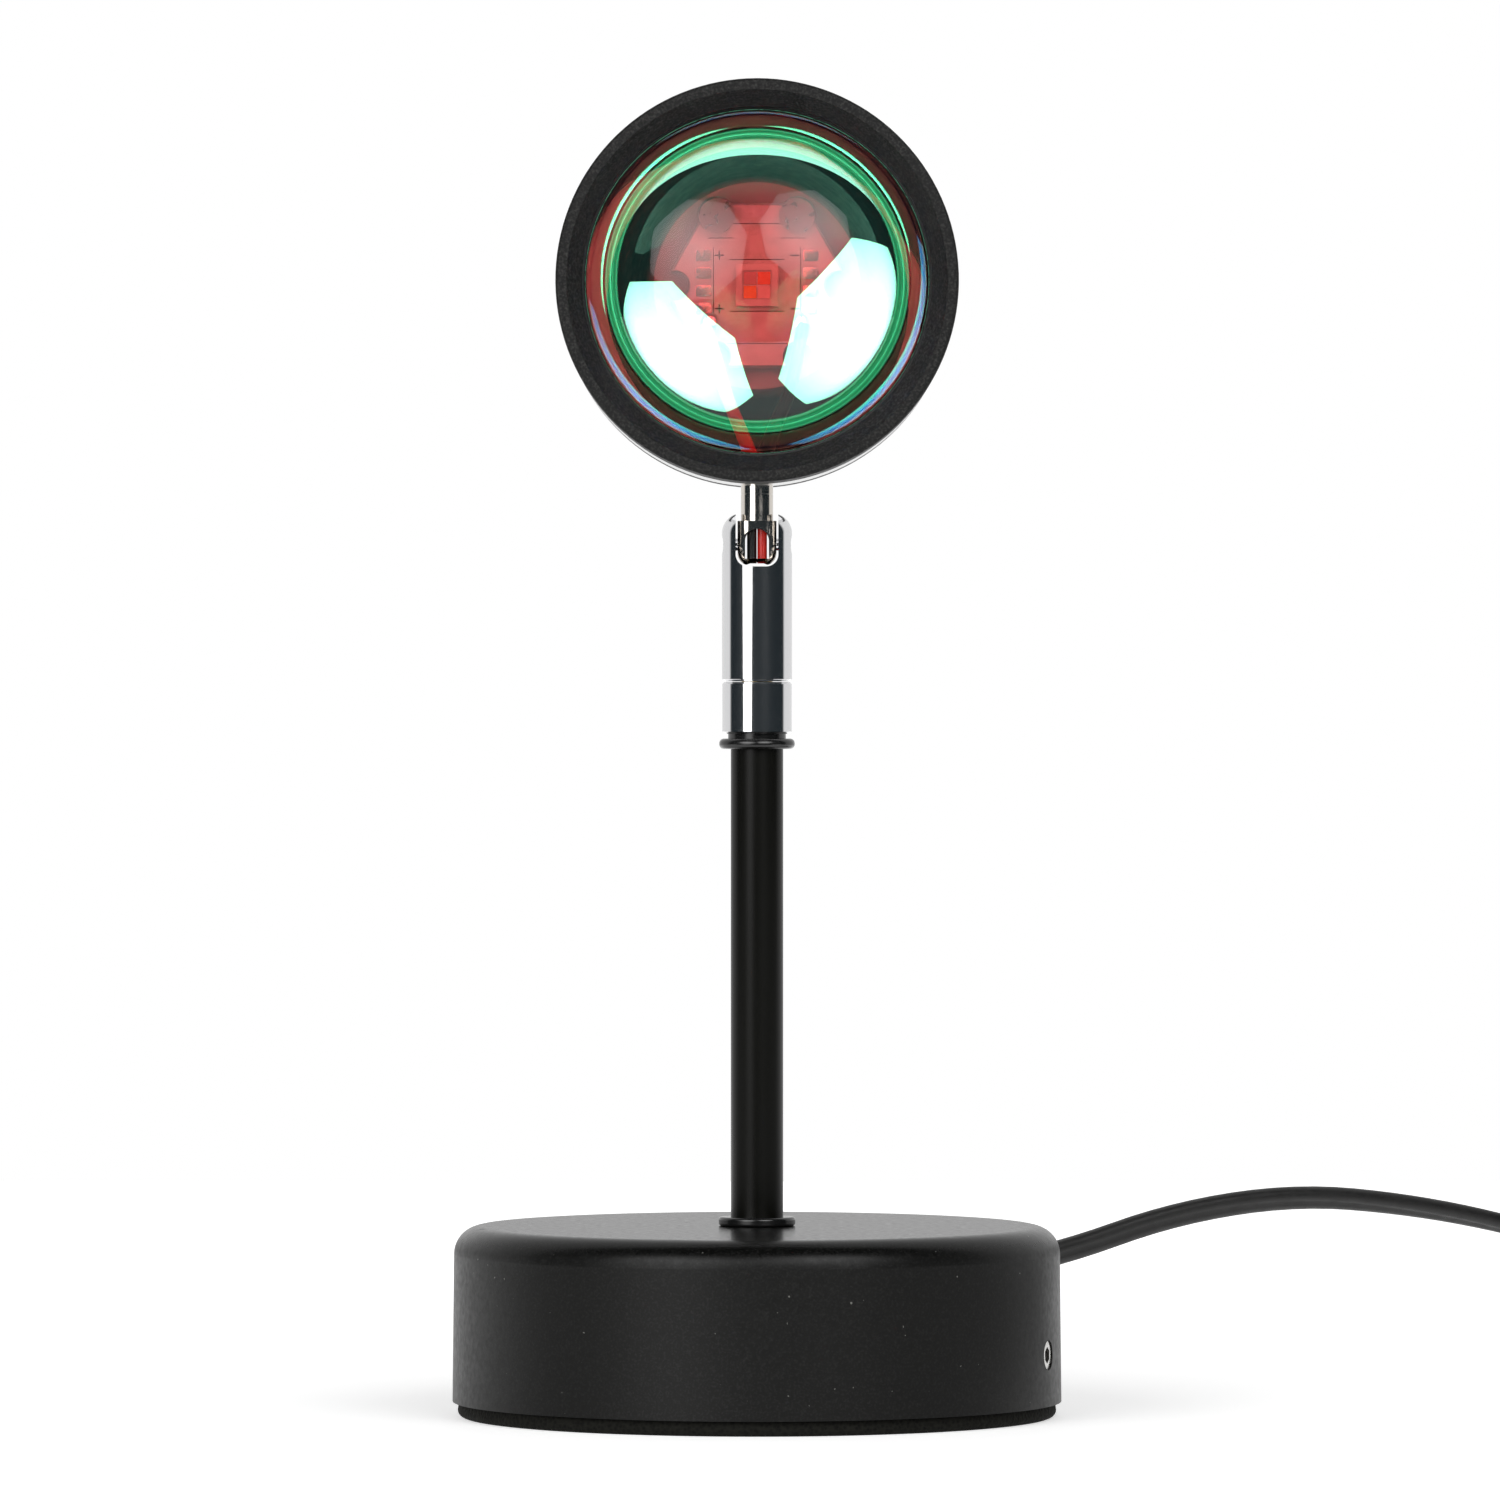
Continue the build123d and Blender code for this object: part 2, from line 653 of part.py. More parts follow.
# Nut inside the head, standing on the round wall by its corners
nut_corner = neck_nut_across_flats / 2 / cos(radians(30))
nut_seat = head_axis_height - sqrt((body_bore / 2) ** 2 - nut_corner**2) + thread_clearance
with BuildPart() as neck_nut:
    with BuildSketch(Plane.XY.offset(nut_seat)):
        RegularPolygon(neck_nut_across_flats / 2, 6, major_radius=False)
        Circle(neck_thread_diameter / 2 + thread_clearance, mode=Mode.SUBTRACT)
    extrude(amount=neck_nut_thickness)
neck_nut.part.label = "neck_nut"
export_step(neck_nut.part, "parts/neck_nut.step")

# Head body: a turned tube with a front spigot and lip, and a ledge for the heat sink
with BuildPart() as head_body:
    with BuildSketch(head_profile):
        with BuildLine():
            Polyline(
                (gasket_back, gasket_inside),
                (gasket_back, body_spigot_diameter / 2),
                (bezel_back, body_spigot_diameter / 2),
                (bezel_back, head_radius - parting_chamfer),
                (bezel_back + parting_chamfer, head_radius),
                (body_back - parting_chamfer, head_radius),
                (body_back, head_radius - parting_chamfer),
                (body_back, sink_bore),
                (sink_front, sink_bore),
                (sink_front, body_bore / 2),
                (gasket_back + body_lip_thickness, body_bore / 2),
                (gasket_back + body_lip_thickness, gasket_inside),
                close=True,
            )
        make_face()
    revolve(axis=head_axis)
    with BuildSketch(Plane.XY.offset(head_axis_height - head_radius - neck_diameter)):
        Circle(neck_thread_diameter / 2 + thread_clearance)
    extrude(amount=head_radius, mode=Mode.SUBTRACT)
head_body.part.label = "head_body"
export_step(head_body.part, "parts/head_body.step")

# Rear cap: a shallow cup with a rounded edge, whose spigot clamps the heat sink against its ledge
with BuildPart() as rear_cap:
    with BuildSketch(head_profile) as cap_profile:
        with BuildLine():
            Polyline(
                (sink_back, cap_bore / 2),
                (sink_back, sink_bore - fit_clearance),
                (body_back, sink_bore - fit_clearance),
                (body_back, head_radius - parting_chamfer),
                (body_back + parting_chamfer, head_radius),
                (cap_back, head_radius),
                (cap_back, 0),
                (cap_back - cap_wall, 0),
                (cap_back - cap_wall, cap_bore / 2),
                close=True,
            )
        make_face()
        fillet(cap_profile.vertices().sort_by_distance((cap_back, head_radius))[0], cap_edge_radius)
    revolve(axis=head_axis)
rear_cap.part.label = "rear_cap"
export_step(rear_cap.part, "parts/rear_cap.step")

# Front bezel: a bevelled ring that screws over the body's spigot and holds the lens by its flange
with BuildPart() as front_bezel:
    with BuildSketch(head_profile) as bezel_profile:
        with BuildLine():
            Polyline(
                (bezel_back, head_radius),
                (bezel_front, head_radius),
                (bezel_front, head_radius - bezel_lip),
                (bezel_front + bezel_bevel_depth, bezel_opening / 2),
                (lens_front, bezel_opening / 2),
                (lens_front, seat_radius),
                (gasket_back - thread_clearance, seat_radius),
                (gasket_back - thread_clearance, thread_radius),
                (bezel_back, thread_radius),
                close=True,
            )
        make_face()
        fillet(bezel_profile.vertices().sort_by_distance((bezel_front, head_radius))[0], bezel_lip / 3)
    revolve(axis=head_axis)
front_bezel.part.label = "front_bezel"
export_step(front_bezel.part, "parts/front_bezel.step")

# Lens: flat behind, with a flange and a spherical dome
dome_base = bezel_opening / 2 - lens_dome_gap
dome_radius = (dome_base**2 + lens_dome_height**2) / (2 * lens_dome_height)
with BuildPart() as lens:
    with BuildSketch(head_profile):
        with BuildLine():
            Polyline(
                (lens_front - lens_dome_height, 0),
                (lens_back, 0),
                (lens_back, lens_diameter / 2),
                (lens_front, lens_diameter / 2),
                (lens_front, dome_base),
            )
            RadiusArc((lens_front, dome_base), (lens_front - lens_dome_height, 0), -dome_radius)
        make_face()
    revolve(axis=head_axis)
lens.part.label = "lens"
export_step(lens.part, "parts/lens.step")

# Colour film on the lens's flat back, and the rubber gasket round it
with BuildPart() as colour_film:
    with BuildSketch(across_head(lens_back)):
        Circle(film_diameter / 2)
    extrude(amount=film_thickness)
colour_film.part.label = "colour_film"
export_step(colour_film.part, "parts/colour_film.step")

with BuildPart() as lens_gasket:
    with BuildSketch(across_head(lens_back)):
        ring(lens_diameter, 2 * gasket_inside)
    extrude(amount=gasket_thickness)
lens_gasket.part.label = "lens_gasket"
export_step(lens_gasket.part, "parts/lens_gasket.step")

# Light tube: a pale liner behind the lens, held by the body's bore
with BuildPart() as light_tube:
    tube_outside = body_bore - 2 * fit_clearance
    with BuildSketch(across_head(gasket_back + body_lip_thickness)):
        ring(tube_outside, tube_outside - 2 * tube_wall)
    extrude(amount=tube_length)
light_tube.part.label = "light_tube"
export_step(light_tube.part, "parts/light_tube.step")

# Heat sink plate, and the post pressed into it that carries the board nearer to the lens
board_screw_span = (90 - board_screw_angle, 2 * board_screw_angle)
with BuildPart() as heat_sink:
    with BuildSketch(across_head(sink_front)):
        Circle(sink_bore - fit_clearance)
        Circle(post_spigot_diameter / 2, mode=Mode.SUBTRACT)
    extrude(amount=sink_thickness)
heat_sink.part.label = "heat_sink"
export_step(heat_sink.part, "parts/heat_sink.step")

with BuildPart() as sink_post:
    with BuildSketch(across_head(post_front)):
        Circle(post_diameter / 2)
    extrude(amount=post_length)
    with BuildSketch(across_head(sink_front)):
        Circle(post_spigot_diameter / 2 - thread_clearance)
    extrude(amount=sink_thickness)
    with BuildSketch(across_head(post_front)):
        with PolarLocations(board_notch_circle / 2, 2, *board_screw_span, endpoint=True):
            Circle(board_screw_diameter / 2 + thread_clearance)
    extrude(amount=post_hole_depth, mode=Mode.SUBTRACT)
sink_post.part.label = "sink_post"
export_step(sink_post.part, "parts/sink_post.step")

# Six-sided light board with notched corners, its emitter and chips, and the two screws left and right of the top
with BuildPart() as led_board:
    with BuildSketch(across_head(board_front)):
        RegularPolygon(board_across_flats / 2, board_sides, major_radius=False)
        with PolarLocations(board_notch_circle / 2, board_sides, 90 - board_screw_angle):
            Circle(board_notch_radius, mode=Mode.SUBTRACT)
    extrude(amount=board_thickness)
led_board.part.label = "led_board"
export_step(led_board.part, "parts/led_board.step")

with BuildPart() as board_screws:
    with BuildSketch(across_head(board_front)):
        with PolarLocations(board_notch_circle / 2, 2, *board_screw_span, endpoint=True):
            Circle(board_screw_head / 2)
    extrude(amount=-board_screw_head_height)
    with BuildSketch(across_head(board_front)):
        with PolarLocations(board_notch_circle / 2, 2, *board_screw_span, endpoint=True):
            Circle(board_screw_diameter / 2)
    extrude(amount=board_screw_length)
board_screws.part.label = "board_screws"
export_step(board_screws.part, "parts/board_screws.step")

with BuildPart() as led_emitter:
    with BuildSketch(across_head(emitter_front)):
        Rectangle(emitter_size, emitter_size)
    extrude(amount=emitter_height)
    with BuildSketch(across_head(emitter_front)):
        Rectangle(emitter_window, emitter_window)
    extrude(amount=emitter_window_depth, mode=Mode.SUBTRACT)
led_emitter.part.label = "led_emitter"
export_step(led_emitter.part, "parts/led_emitter.step")

with BuildPart() as led_chips:
    with BuildSketch(across_head(emitter_front + emitter_window_depth)):
        with GridLocations(chip_pitch, chip_pitch, 2, 2):
            Rectangle(chip_size, chip_size)
    extrude(amount=-chip_height)
led_chips.part.label = "led_chips"
export_step(led_chips.part, "parts/led_chips.step")

# Wires: one red and one black, in three lengths that meet at the swivel and at the pivot
exit_way = Vector(sin(radians(cord_exit_azimuth)), -cos(radians(cord_exit_azimuth)), 0)
exit_side = Vector(exit_way.Y, -exit_way.X, 0)
gland_inside = wall_inside - gland_inner_flange_thickness
wire_half_pitch = wire_pitch / 2
board_face = board_front - wire_diameter / 2 - wire_end_gap
solder_height = head_axis_height - board_across_flats / 4
wire_rise = neck_thread_top + wire_diameter
wire_routes = {
    "red": [
        (wire_half_pitch, 0, pivot_height - eye_radius + wire_end_gap),
        (wire_half_pitch, 0, wire_rise),
        (wire_half_pitch - 0.4, -6.0, wire_rise + 3.5),
        (-3.6, board_face - 1.2, wire_rise + 9.0),
        (-6.2, board_face, solder_height),
    ],
    "black": [
        (-wire_half_pitch, 0, pivot_height - eye_radius + wire_end_gap),
        (-wire_half_pitch, 0, wire_rise),
        (0.2, -2.6, wire_rise + 7.0),
        (4.2, board_face - 1.2, wire_rise + 10.5),
        (5.6, board_face, solder_height),
    ],
}
stand_wires = {}
knuckle_wires = {}
head_wires = {}
for colour, side in (("red", 1), ("black", -1)):
    gland_point = exit_way * gland_inside + exit_side * (side * wire_half_pitch)
    with BuildPart() as stand_wires[colour]:
        with BuildLine() as stand_path:
            FilletPolyline(
                (gland_point.X, gland_point.Y, cord_exit_height),
                (side * wire_half_pitch, 0, cord_exit_height),
                (side * wire_half_pitch, 0, stem_top),
                radius=wire_bend_radius,
            )
        with BuildSketch(Plane(stand_path.line @ 0, z_dir=stand_path.line % 0)):
            Circle(wire_diameter / 2)
        sweep(path=stand_path.line)
    with BuildPart() as knuckle_wires[colour]:
        with BuildSketch(Plane.XY.offset(stem_top + wire_end_gap)):
            with Locations((side * wire_half_pitch, 0)):
                Circle(wire_diameter / 2)
        extrude(amount=slot_floor - stem_top - 2 * wire_end_gap)
    with BuildPart() as head_wires[colour]:
        with BuildLine() as head_path:
            FilletPolyline(*wire_routes[colour], radius=corner_radii(wire_routes[colour], arc_share / 2))
        with BuildSketch(Plane(head_path.line @ 0, z_dir=head_path.line % 0)):
            Circle(wire_diameter / 2)
        sweep(path=head_path.line)
    stand_wires[colour].part.label = f"stand_wire_{colour}"
    export_step(stand_wires[colour].part, f"parts/stand_wire_{colour}.step")
    knuckle_wires[colour].part.label = f"knuckle_wire_{colour}"
    export_step(knuckle_wires[colour].part, f"parts/knuckle_wire_{colour}.step")
    head_wires[colour].part.label = f"head_wire_{colour}"
    export_step(head_wires[colour].part, f"parts/head_wire_{colour}.step")

# Cord coil: loops that spiral in and out again, one layer on the other, as a single tube
coil_floor = tie_thickness + tie_slack / 2 + cord_diameter / 2
coil_turns = coil_layers * coil_layer_turns + (coil_layers - 1) * coil_climb_turns
layer_cycle = coil_layer_turns + coil_climb_turns


def coil_radius(turn):
    """The spiral's radius: steady steps inwards or outwards, eased over where the spiral reverses."""
    layer, within = divmod(turn, layer_cycle)
    way = -1 if layer % 2 == 0 else 1
    start = coil_outer_radius if way < 0 else coil_outer_radius - coil_pitch * coil_layer_turns
    past = max(within - coil_layer_turns, 0.0)
    eased = past - past**2 / coil_climb_turns
    return start + way * coil_pitch * (min(within, coil_layer_turns) + eased)


def coil_height(turn):
    """The layer's height, with a smooth climb over the half turn where the spiral reverses."""
    layer, within = divmod(turn, layer_cycle)
    share = max(within - coil_layer_turns, 0.0) / coil_climb_turns
    return coil_floor + coil_pitch * (layer + share**2 * (3 - 2 * share))


def coil_place(turn):
    """The point of the tube's middle line after a number of clockwise turns from the +X side."""
    angle = -2 * pi * turn
    reach = coil_radius(turn)
    return Vector(
        coil_centre_x + reach * cos(angle), coil_centre_y + reach * sin(angle), coil_height(turn)
    )


def coil_way(turn):
    """The direction of the middle line there."""
    step = 1e-4
    first = max(turn - step, 0.0)
    last = min(turn + step, coil_turns - 1e-9)
    return (coil_place(last) - coil_place(first)).normalized()


def biarc_joint(start, start_way, end, end_way):
    """The point where two tangent arcs meet, and the direction there."""
    span = end - start
    a = 2 * (start_way.dot(end_way) - 1)
    b = -2 * span.dot(start_way + end_way)
    c = span.dot(span)
    reach = (-b - sqrt(b * b - 4 * a * c)) / (2 * a)
    first = start + start_way * reach
    second = end - end_way * reach
    return (first + second) * 0.5, (second - first).normalized()


half_turns = round(2 * coil_turns)
stations = [k * coil_turns / half_turns for k in range(half_turns + 1)]
stations[-1] -= 1e-9
coil_places = [coil_place(t) for t in stations]
coil_ways = [coil_way(t) for t in stations]
coil_ways[0] = Vector(0, -1, 0)
coil_ways[-1] = Vector(0, -1, 0)
coil_start = coil_places[0] - coil_ways[0] * cord_diameter
coil_end = coil_places[-1] + coil_ways[-1] * cord_diameter
with BuildPart() as cord_coil:
    with BuildLine() as coil_path:
        Line(coil_start, coil_places[0])
        for start, start_way, end, end_way in zip(coil_places, coil_ways, coil_places[1:], coil_ways[1:]):
            middle, middle_way = biarc_joint(start, start_way, end, end_way)
            TangentArc(start, middle, tangent=start_way)
            TangentArc(middle, end, tangent=middle_way)
        Line(coil_places[-1], coil_end)
    with BuildSketch(Plane(coil_start, z_dir=coil_ways[0])):
        Circle(cord_diameter / 2)
    sweep(path=coil_path.wires()[0])
cord_coil.part.label = "cord_coil"
export_step(cord_coil.part, "parts/cord_coil.step")
report_tube("cord_coil", cord_coil.part, coil_path.wires()[0].length, cord_diameter, [])
samples_per_turn = 48
coil_samples = [coil_place(k / samples_per_turn) for k in range(int(coil_turns * samples_per_turn))]
least_gap = min(
    (coil_samples[i] - coil_samples[j]).length
    for i in range(len(coil_samples))
    for j in range(i + samples_per_turn // 2, len(coil_samples))
) - cord_diameter
print(f"cord_coil: least gap between turns {least_gap:.2f}")

# Free stretches of the cord: from the gland to the coil, from the coil to the switch, and on to the plug
exit_point = exit_way * gland_end
lead_route = [
    (exit_point.X, exit_point.Y, cord_exit_height),
    (24.6, 75.7, cord_exit_height),
    (35.5, 90.5, 19.5),
    (52.5, 101.5, 22.6),
    (73.0, 111.0, 27.6),
    (95.0, 121.0, 30.4),
    (116.0, 133.0, 28.0),
    (135.5, 145.5, 23.6),
    (154.5, 151.0, 17.6),
    (172.0, 148.0, 11.2),
    (185.5, 138.0, 6.4),
    (coil_start.X - 0.6, 124.0, 3.6),
    (coil_start.X, 108.5, coil_start.Z),
    (coil_start.X, coil_start.Y, coil_start.Z),
]
switch_middle = switch_half_height
tail_route = [
    (coil_end.X, coil_end.Y, coil_end.Z),
    (coil_end.X, 76.0, coil_end.Z),
    (coil_end.X, 65.5, 12.2),
    (coil_end.X, 55.0, switch_middle),
    (coil_end.X, switch_front_y, switch_middle),
]
switch_back_y = switch_front_y - switch_length
plug_middle = plug_height / 2
plug_start_y = plug_back_y - plug_boot_length
end_route = [
    (coil_end.X, switch_back_y, switch_middle),
    (coil_end.X, -19.0, switch_middle),
    (185.0, -30.6, 4.6),
    (171.4, -35.0, 2.4),
    (157.8, -30.6, 2.6),
    (plug_x, -19.0, plug_middle),
    (plug_x, plug_start_y, plug_middle),
]
cords = {}
for name, route in (("cord_lead", lead_route), ("cord_tail", tail_route), ("cord_end", end_route)):
    radii = corner_radii(route)
    with BuildPart() as cords[name]:
        with BuildLine() as cord_path:
            FilletPolyline(*route, radius=radii)
        with BuildSketch(Plane(cord_path.line @ 0, z_dir=cord_path.line % 0)):
            Circle(cord_diameter / 2)
        sweep(path=cord_path.line)
    cords[name].part.label = name
    export_step(cords[name].part, f"parts/{name}.step")
    report_tube(name, cords[name].part, cord_path.wires()[0].length, cord_diameter, radii)

# Tie round the coil's bundle, in front of its middle
bundle_inside = coil_outer_radius - coil_pitch * (coil_layer_turns + coil_climb_turns / 4) - cord_diameter / 2
bundle_outside = coil_outer_radius + coil_pitch * coil_climb_turns / 4 + cord_diameter / 2
bundle_top = coil_floor + coil_pitch * (coil_layers - 1) + cord_diameter / 2
tie_plane = Plane((coil_centre_x - tie_width / 2, coil_centre_y, 0), x_dir=(0, 1, 0), z_dir=(1, 0, 0))
with BuildPart() as cord_tie:
    tie_centre = (-(bundle_inside + bundle_outside) / 2, (bundle_top + tie_slack + tie_thickness) / 2)
    with BuildSketch(tie_plane):
        with Locations(tie_centre):
            RectangleRounded(
                bundle_outside - bundle_inside + 2 * (tie_slack + tie_thickness),
                bundle_top + tie_slack + tie_thickness,
                cord_diameter / 2,
            )
            RectangleRounded(
                bundle_outside - bundle_inside + 2 * tie_slack,
                bundle_top + tie_slack - tie_thickness,
                cord_diameter / 2 - tie_thickness,
                mode=Mode.SUBTRACT,
            )
    extrude(amount=tie_width)
cord_tie.part.label = "cord_tie"
export_step(cord_tie.part, "parts/cord_tie.step")

# Switch on the cord: two shells with screw bosses, a switch block, a push button and two screws
switch_x = coil_end.X
switch_y = (switch_front_y + switch_back_y) / 2
switch_top_z = 2 * switch_half_height
boss_spots = ((switch_x, switch_y - switch_boss_spacing / 2), (switch_x, switch_y + switch_boss_spacing / 2))
pocket = switch_corner_radius - switch_wall
with BuildPart() as switch_bottom:
    with BuildSketch():
        with Locations((switch_x, switch_y)):
            RectangleRounded(switch_width, switch_length, switch_corner_radius)
    extrude(amount=switch_half_height)
    fillet(switch_bottom.edges().group_by(Axis.Z)[0], switch_edge_radius)
    with BuildSketch(Plane.XY.offset(switch_wall)):
        with Locations((switch_x, switch_y)):
            RectangleRounded(switch_width - 2 * switch_wall, switch_length - 2 * switch_wall, pocket)
        with Locations(*boss_spots):
            Circle(switch_boss_diameter / 2, mode=Mode.SUBTRACT)
    extrude(amount=switch_half_height, mode=Mode.SUBTRACT)
    with Locations(*[(x, y, 0) for x, y in boss_spots]):
        with Locations(Rotation(180, 0, 0)):
            CounterBoreHole(
                switch_screw_diameter / 2 + thread_clearance,
                switch_screw_head / 2 + thread_clearance,
                switch_screw_head_height + fit_clearance,
            )
switch_bottom.part.label = "switch_bottom"
export_step(switch_bottom.part, "parts/switch_bottom.step")

with BuildPart() as switch_top:
    with BuildSketch(Plane.XY.offset(switch_half_height)):
        with Locations((switch_x, switch_y)):
            RectangleRounded(switch_width, switch_length, switch_corner_radius)
    extrude(amount=switch_half_height)
    fillet(switch_top.edges().group_by(Axis.Z)[-1], switch_edge_radius)
    with BuildSketch(Plane.XY.offset(switch_half_height)):
        with Locations((switch_x, switch_y)):
            RectangleRounded(switch_width - 2 * switch_wall, switch_length - 2 * switch_wall, pocket)
        with Locations(*boss_spots):
            Circle(switch_boss_diameter / 2, mode=Mode.SUBTRACT)
    extrude(amount=switch_half_height - switch_wall, mode=Mode.SUBTRACT)
    with BuildSketch(Plane.XY.offset(switch_half_height)):
        with Locations((switch_x, switch_y)):
            Circle(button_diameter / 2 + button_clearance)
    extrude(amount=switch_half_height, mode=Mode.SUBTRACT)
    with BuildSketch(Plane.XY.offset(switch_half_height)):
        with Locations(*boss_spots):
            Circle(switch_screw_diameter / 2 + thread_clearance)
    extrude(amount=switch_half_height - 2 * switch_wall, mode=Mode.SUBTRACT)
switch_top.part.label = "switch_top"
export_step(switch_top.part, "parts/switch_top.step")

with BuildPart() as switch_screws:
    screw_seat = switch_screw_head_height + fit_clearance
    with BuildSketch(Plane.XY.offset(fit_clearance)):
        with Locations(*boss_spots):
            Circle(switch_screw_head / 2)
    extrude(amount=switch_screw_head_height)
    with BuildSketch(Plane.XY.offset(screw_seat)):
        with Locations(*boss_spots):
            Circle(switch_screw_diameter / 2)
    extrude(amount=switch_screw_length)
switch_screws.part.label = "switch_screws"
export_step(switch_screws.part, "parts/switch_screws.step")

flange_top = switch_top_z - switch_wall - button_clearance
flange_bottom = flange_top - button_flange_thickness
with BuildPart() as switch_button:
    with BuildSketch(Plane.XY.offset(flange_bottom)):
        with Locations((switch_x, switch_y)):
            Circle(button_flange_diameter / 2)
    extrude(amount=button_flange_thickness)
    with BuildSketch(Plane.XY.offset(flange_top)):
        with Locations((switch_x, switch_y)):
            Circle(button_diameter / 2)
    extrude(amount=switch_top_z + button_proud - flange_top)
    fillet(switch_button.edges().group_by(Axis.Z)[-1], button_proud / 3)
    dish_radius = button_diameter / 3
    with BuildSketch(Plane.XY.offset(switch_top_z + button_proud - button_dish_depth)):
        with Locations((switch_x, switch_y)):
            Circle(dish_radius)
    extrude(amount=button_proud, mode=Mode.SUBTRACT)
switch_button.part.label = "switch_button"
export_step(switch_button.part, "parts/switch_button.step")

with BuildPart() as switch_block:
    with BuildSketch(Plane.XY.offset(switch_wall)):
        with Locations((switch_x, switch_y)):
            Rectangle(module_size, module_size)
    extrude(amount=flange_bottom - button_travel - module_gap - switch_wall)
switch_block.part.label = "switch_block"
export_step(switch_block.part, "parts/switch_block.step")

# Plug: a moulded grip with a boot, a folded metal shell, an insulating insert and four contacts
plug_front_y = plug_back_y + plug_length
with BuildPart() as plug_grip:
    with BuildSketch(Plane((plug_x, plug_back_y, plug_middle), x_dir=(-1, 0, 0), z_dir=(0, 1, 0))):
        Rectangle(plug_width, plug_height)
    extrude(amount=plug_length)
    fillet(plug_grip.edges().filter_by(Axis.Y), plug_edge_radius)
    fillet(plug_grip.edges().group_by(Axis.Y)[0], plug_edge_radius)
    with BuildSketch(Plane((plug_x, plug_start_y, plug_middle), x_dir=(-1, 0, 0), z_dir=(0, 1, 0))):
        Circle(gland_tip_diameter / 2)
    with BuildSketch(Plane((plug_x, plug_back_y, plug_middle), x_dir=(-1, 0, 0), z_dir=(0, 1, 0))):
        Circle(plug_boot_diameter / 2)
    loft()
    for side in (1, -1):
        flank = (plug_x + side * plug_width / 2, plug_back_y + plug_length / 2, plug_middle)
        with BuildSketch(Plane(flank, x_dir=(0, 1, 0), z_dir=(-side, 0, 0))):
            with GridLocations(grip_groove_pitch, 0, grip_groove_count, 1):
                Rectangle(grip_groove_width, plug_height)
        extrude(amount=grip_groove_depth, mode=Mode.SUBTRACT)
plug_grip.part.label = "plug_grip"
export_step(plug_grip.part, "parts/plug_grip.step")

shell_plane = Plane((plug_x, plug_front_y, plug_middle), x_dir=(-1, 0, 0), z_dir=(0, 1, 0))
with BuildPart() as plug_shell:
    with BuildSketch(shell_plane):
        Rectangle(shell_width, shell_height)
        Rectangle(shell_width - 2 * shell_wall, shell_height - 2 * shell_wall, mode=Mode.SUBTRACT)
    extrude(amount=shell_length)
    with BuildSketch(Plane.XY.offset(plug_middle)):
        with Locations((plug_x, plug_front_y + shell_length - shell_window_setback)):
            with GridLocations(shell_window_spacing, 0, 2, 1):
                Rectangle(shell_window_width, shell_window_length)
    extrude(amount=shell_height, mode=Mode.SUBTRACT)
plug_shell.part.label = "plug_shell"
export_step(plug_shell.part, "parts/plug_shell.step")

insert_bottom = plug_middle - shell_height / 2 + shell_wall
insert_top = insert_bottom + insert_height
with BuildPart() as plug_insert:
    with BuildSketch(Plane.XY.offset(insert_bottom)):
        with Locations((plug_x, plug_front_y)):
            Rectangle(
                shell_width - 2 * shell_wall - 2 * insert_side_gap,
                shell_length - insert_setback,
                align=(Align.CENTER, Align.MIN),
            )
    extrude(amount=insert_height)
plug_insert.part.label = "plug_insert"
export_step(plug_insert.part, "parts/plug_insert.step")

with BuildPart() as plug_contacts:
    contact_front = plug_front_y + shell_length - 2 * insert_setback
    with BuildSketch(Plane.XY.offset(insert_top)):
        with Locations(*[(plug_x + x, contact_front) for x in contact_spacing]):
            Rectangle(contact_width, contact_length, align=(Align.CENTER, Align.MAX))
    extrude(amount=contact_height)
plug_contacts.part.label = "plug_contacts"
export_step(plug_contacts.part, "parts/plug_contacts.step")
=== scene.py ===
import json
import math

import bpy
import numpy as np
from bpy.props import FloatProperty, FloatVectorProperty, IntProperty, PointerProperty
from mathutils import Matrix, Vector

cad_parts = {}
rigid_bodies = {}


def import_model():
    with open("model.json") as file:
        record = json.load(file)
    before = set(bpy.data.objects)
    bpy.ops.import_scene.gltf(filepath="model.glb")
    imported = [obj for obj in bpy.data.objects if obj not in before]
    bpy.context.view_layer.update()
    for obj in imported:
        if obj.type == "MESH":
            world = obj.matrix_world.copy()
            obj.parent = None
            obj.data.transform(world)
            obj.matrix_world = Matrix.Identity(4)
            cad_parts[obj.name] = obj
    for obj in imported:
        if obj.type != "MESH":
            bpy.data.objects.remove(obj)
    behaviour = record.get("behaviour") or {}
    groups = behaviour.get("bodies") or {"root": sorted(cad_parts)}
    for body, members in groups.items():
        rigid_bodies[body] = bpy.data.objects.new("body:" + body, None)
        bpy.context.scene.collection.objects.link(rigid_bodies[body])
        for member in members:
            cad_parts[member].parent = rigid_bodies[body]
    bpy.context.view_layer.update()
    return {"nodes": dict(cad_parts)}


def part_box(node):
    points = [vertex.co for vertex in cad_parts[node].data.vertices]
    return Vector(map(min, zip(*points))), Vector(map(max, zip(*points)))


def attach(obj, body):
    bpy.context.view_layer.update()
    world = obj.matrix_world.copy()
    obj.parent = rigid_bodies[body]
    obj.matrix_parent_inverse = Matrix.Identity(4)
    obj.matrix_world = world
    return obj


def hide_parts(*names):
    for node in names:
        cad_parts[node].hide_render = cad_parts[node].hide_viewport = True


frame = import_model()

bl_info = {
    "name": "Projection Lamp Finish",
    "version": (1, 0, 0),
    "blender": (4, 5, 0),
    "location": "View3D > Sidebar > Lamp",
    "description": "Dresses the frame of a projection lamp with its lens, film, cord and finishes",
    "category": "Object",
}

NODES = frame["nodes"]
MM = 1e-3
MICRON = 1e-6


def corners(node):
    """The two ends of a node's box, as arrays."""
    return [np.array(corner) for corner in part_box(node)]


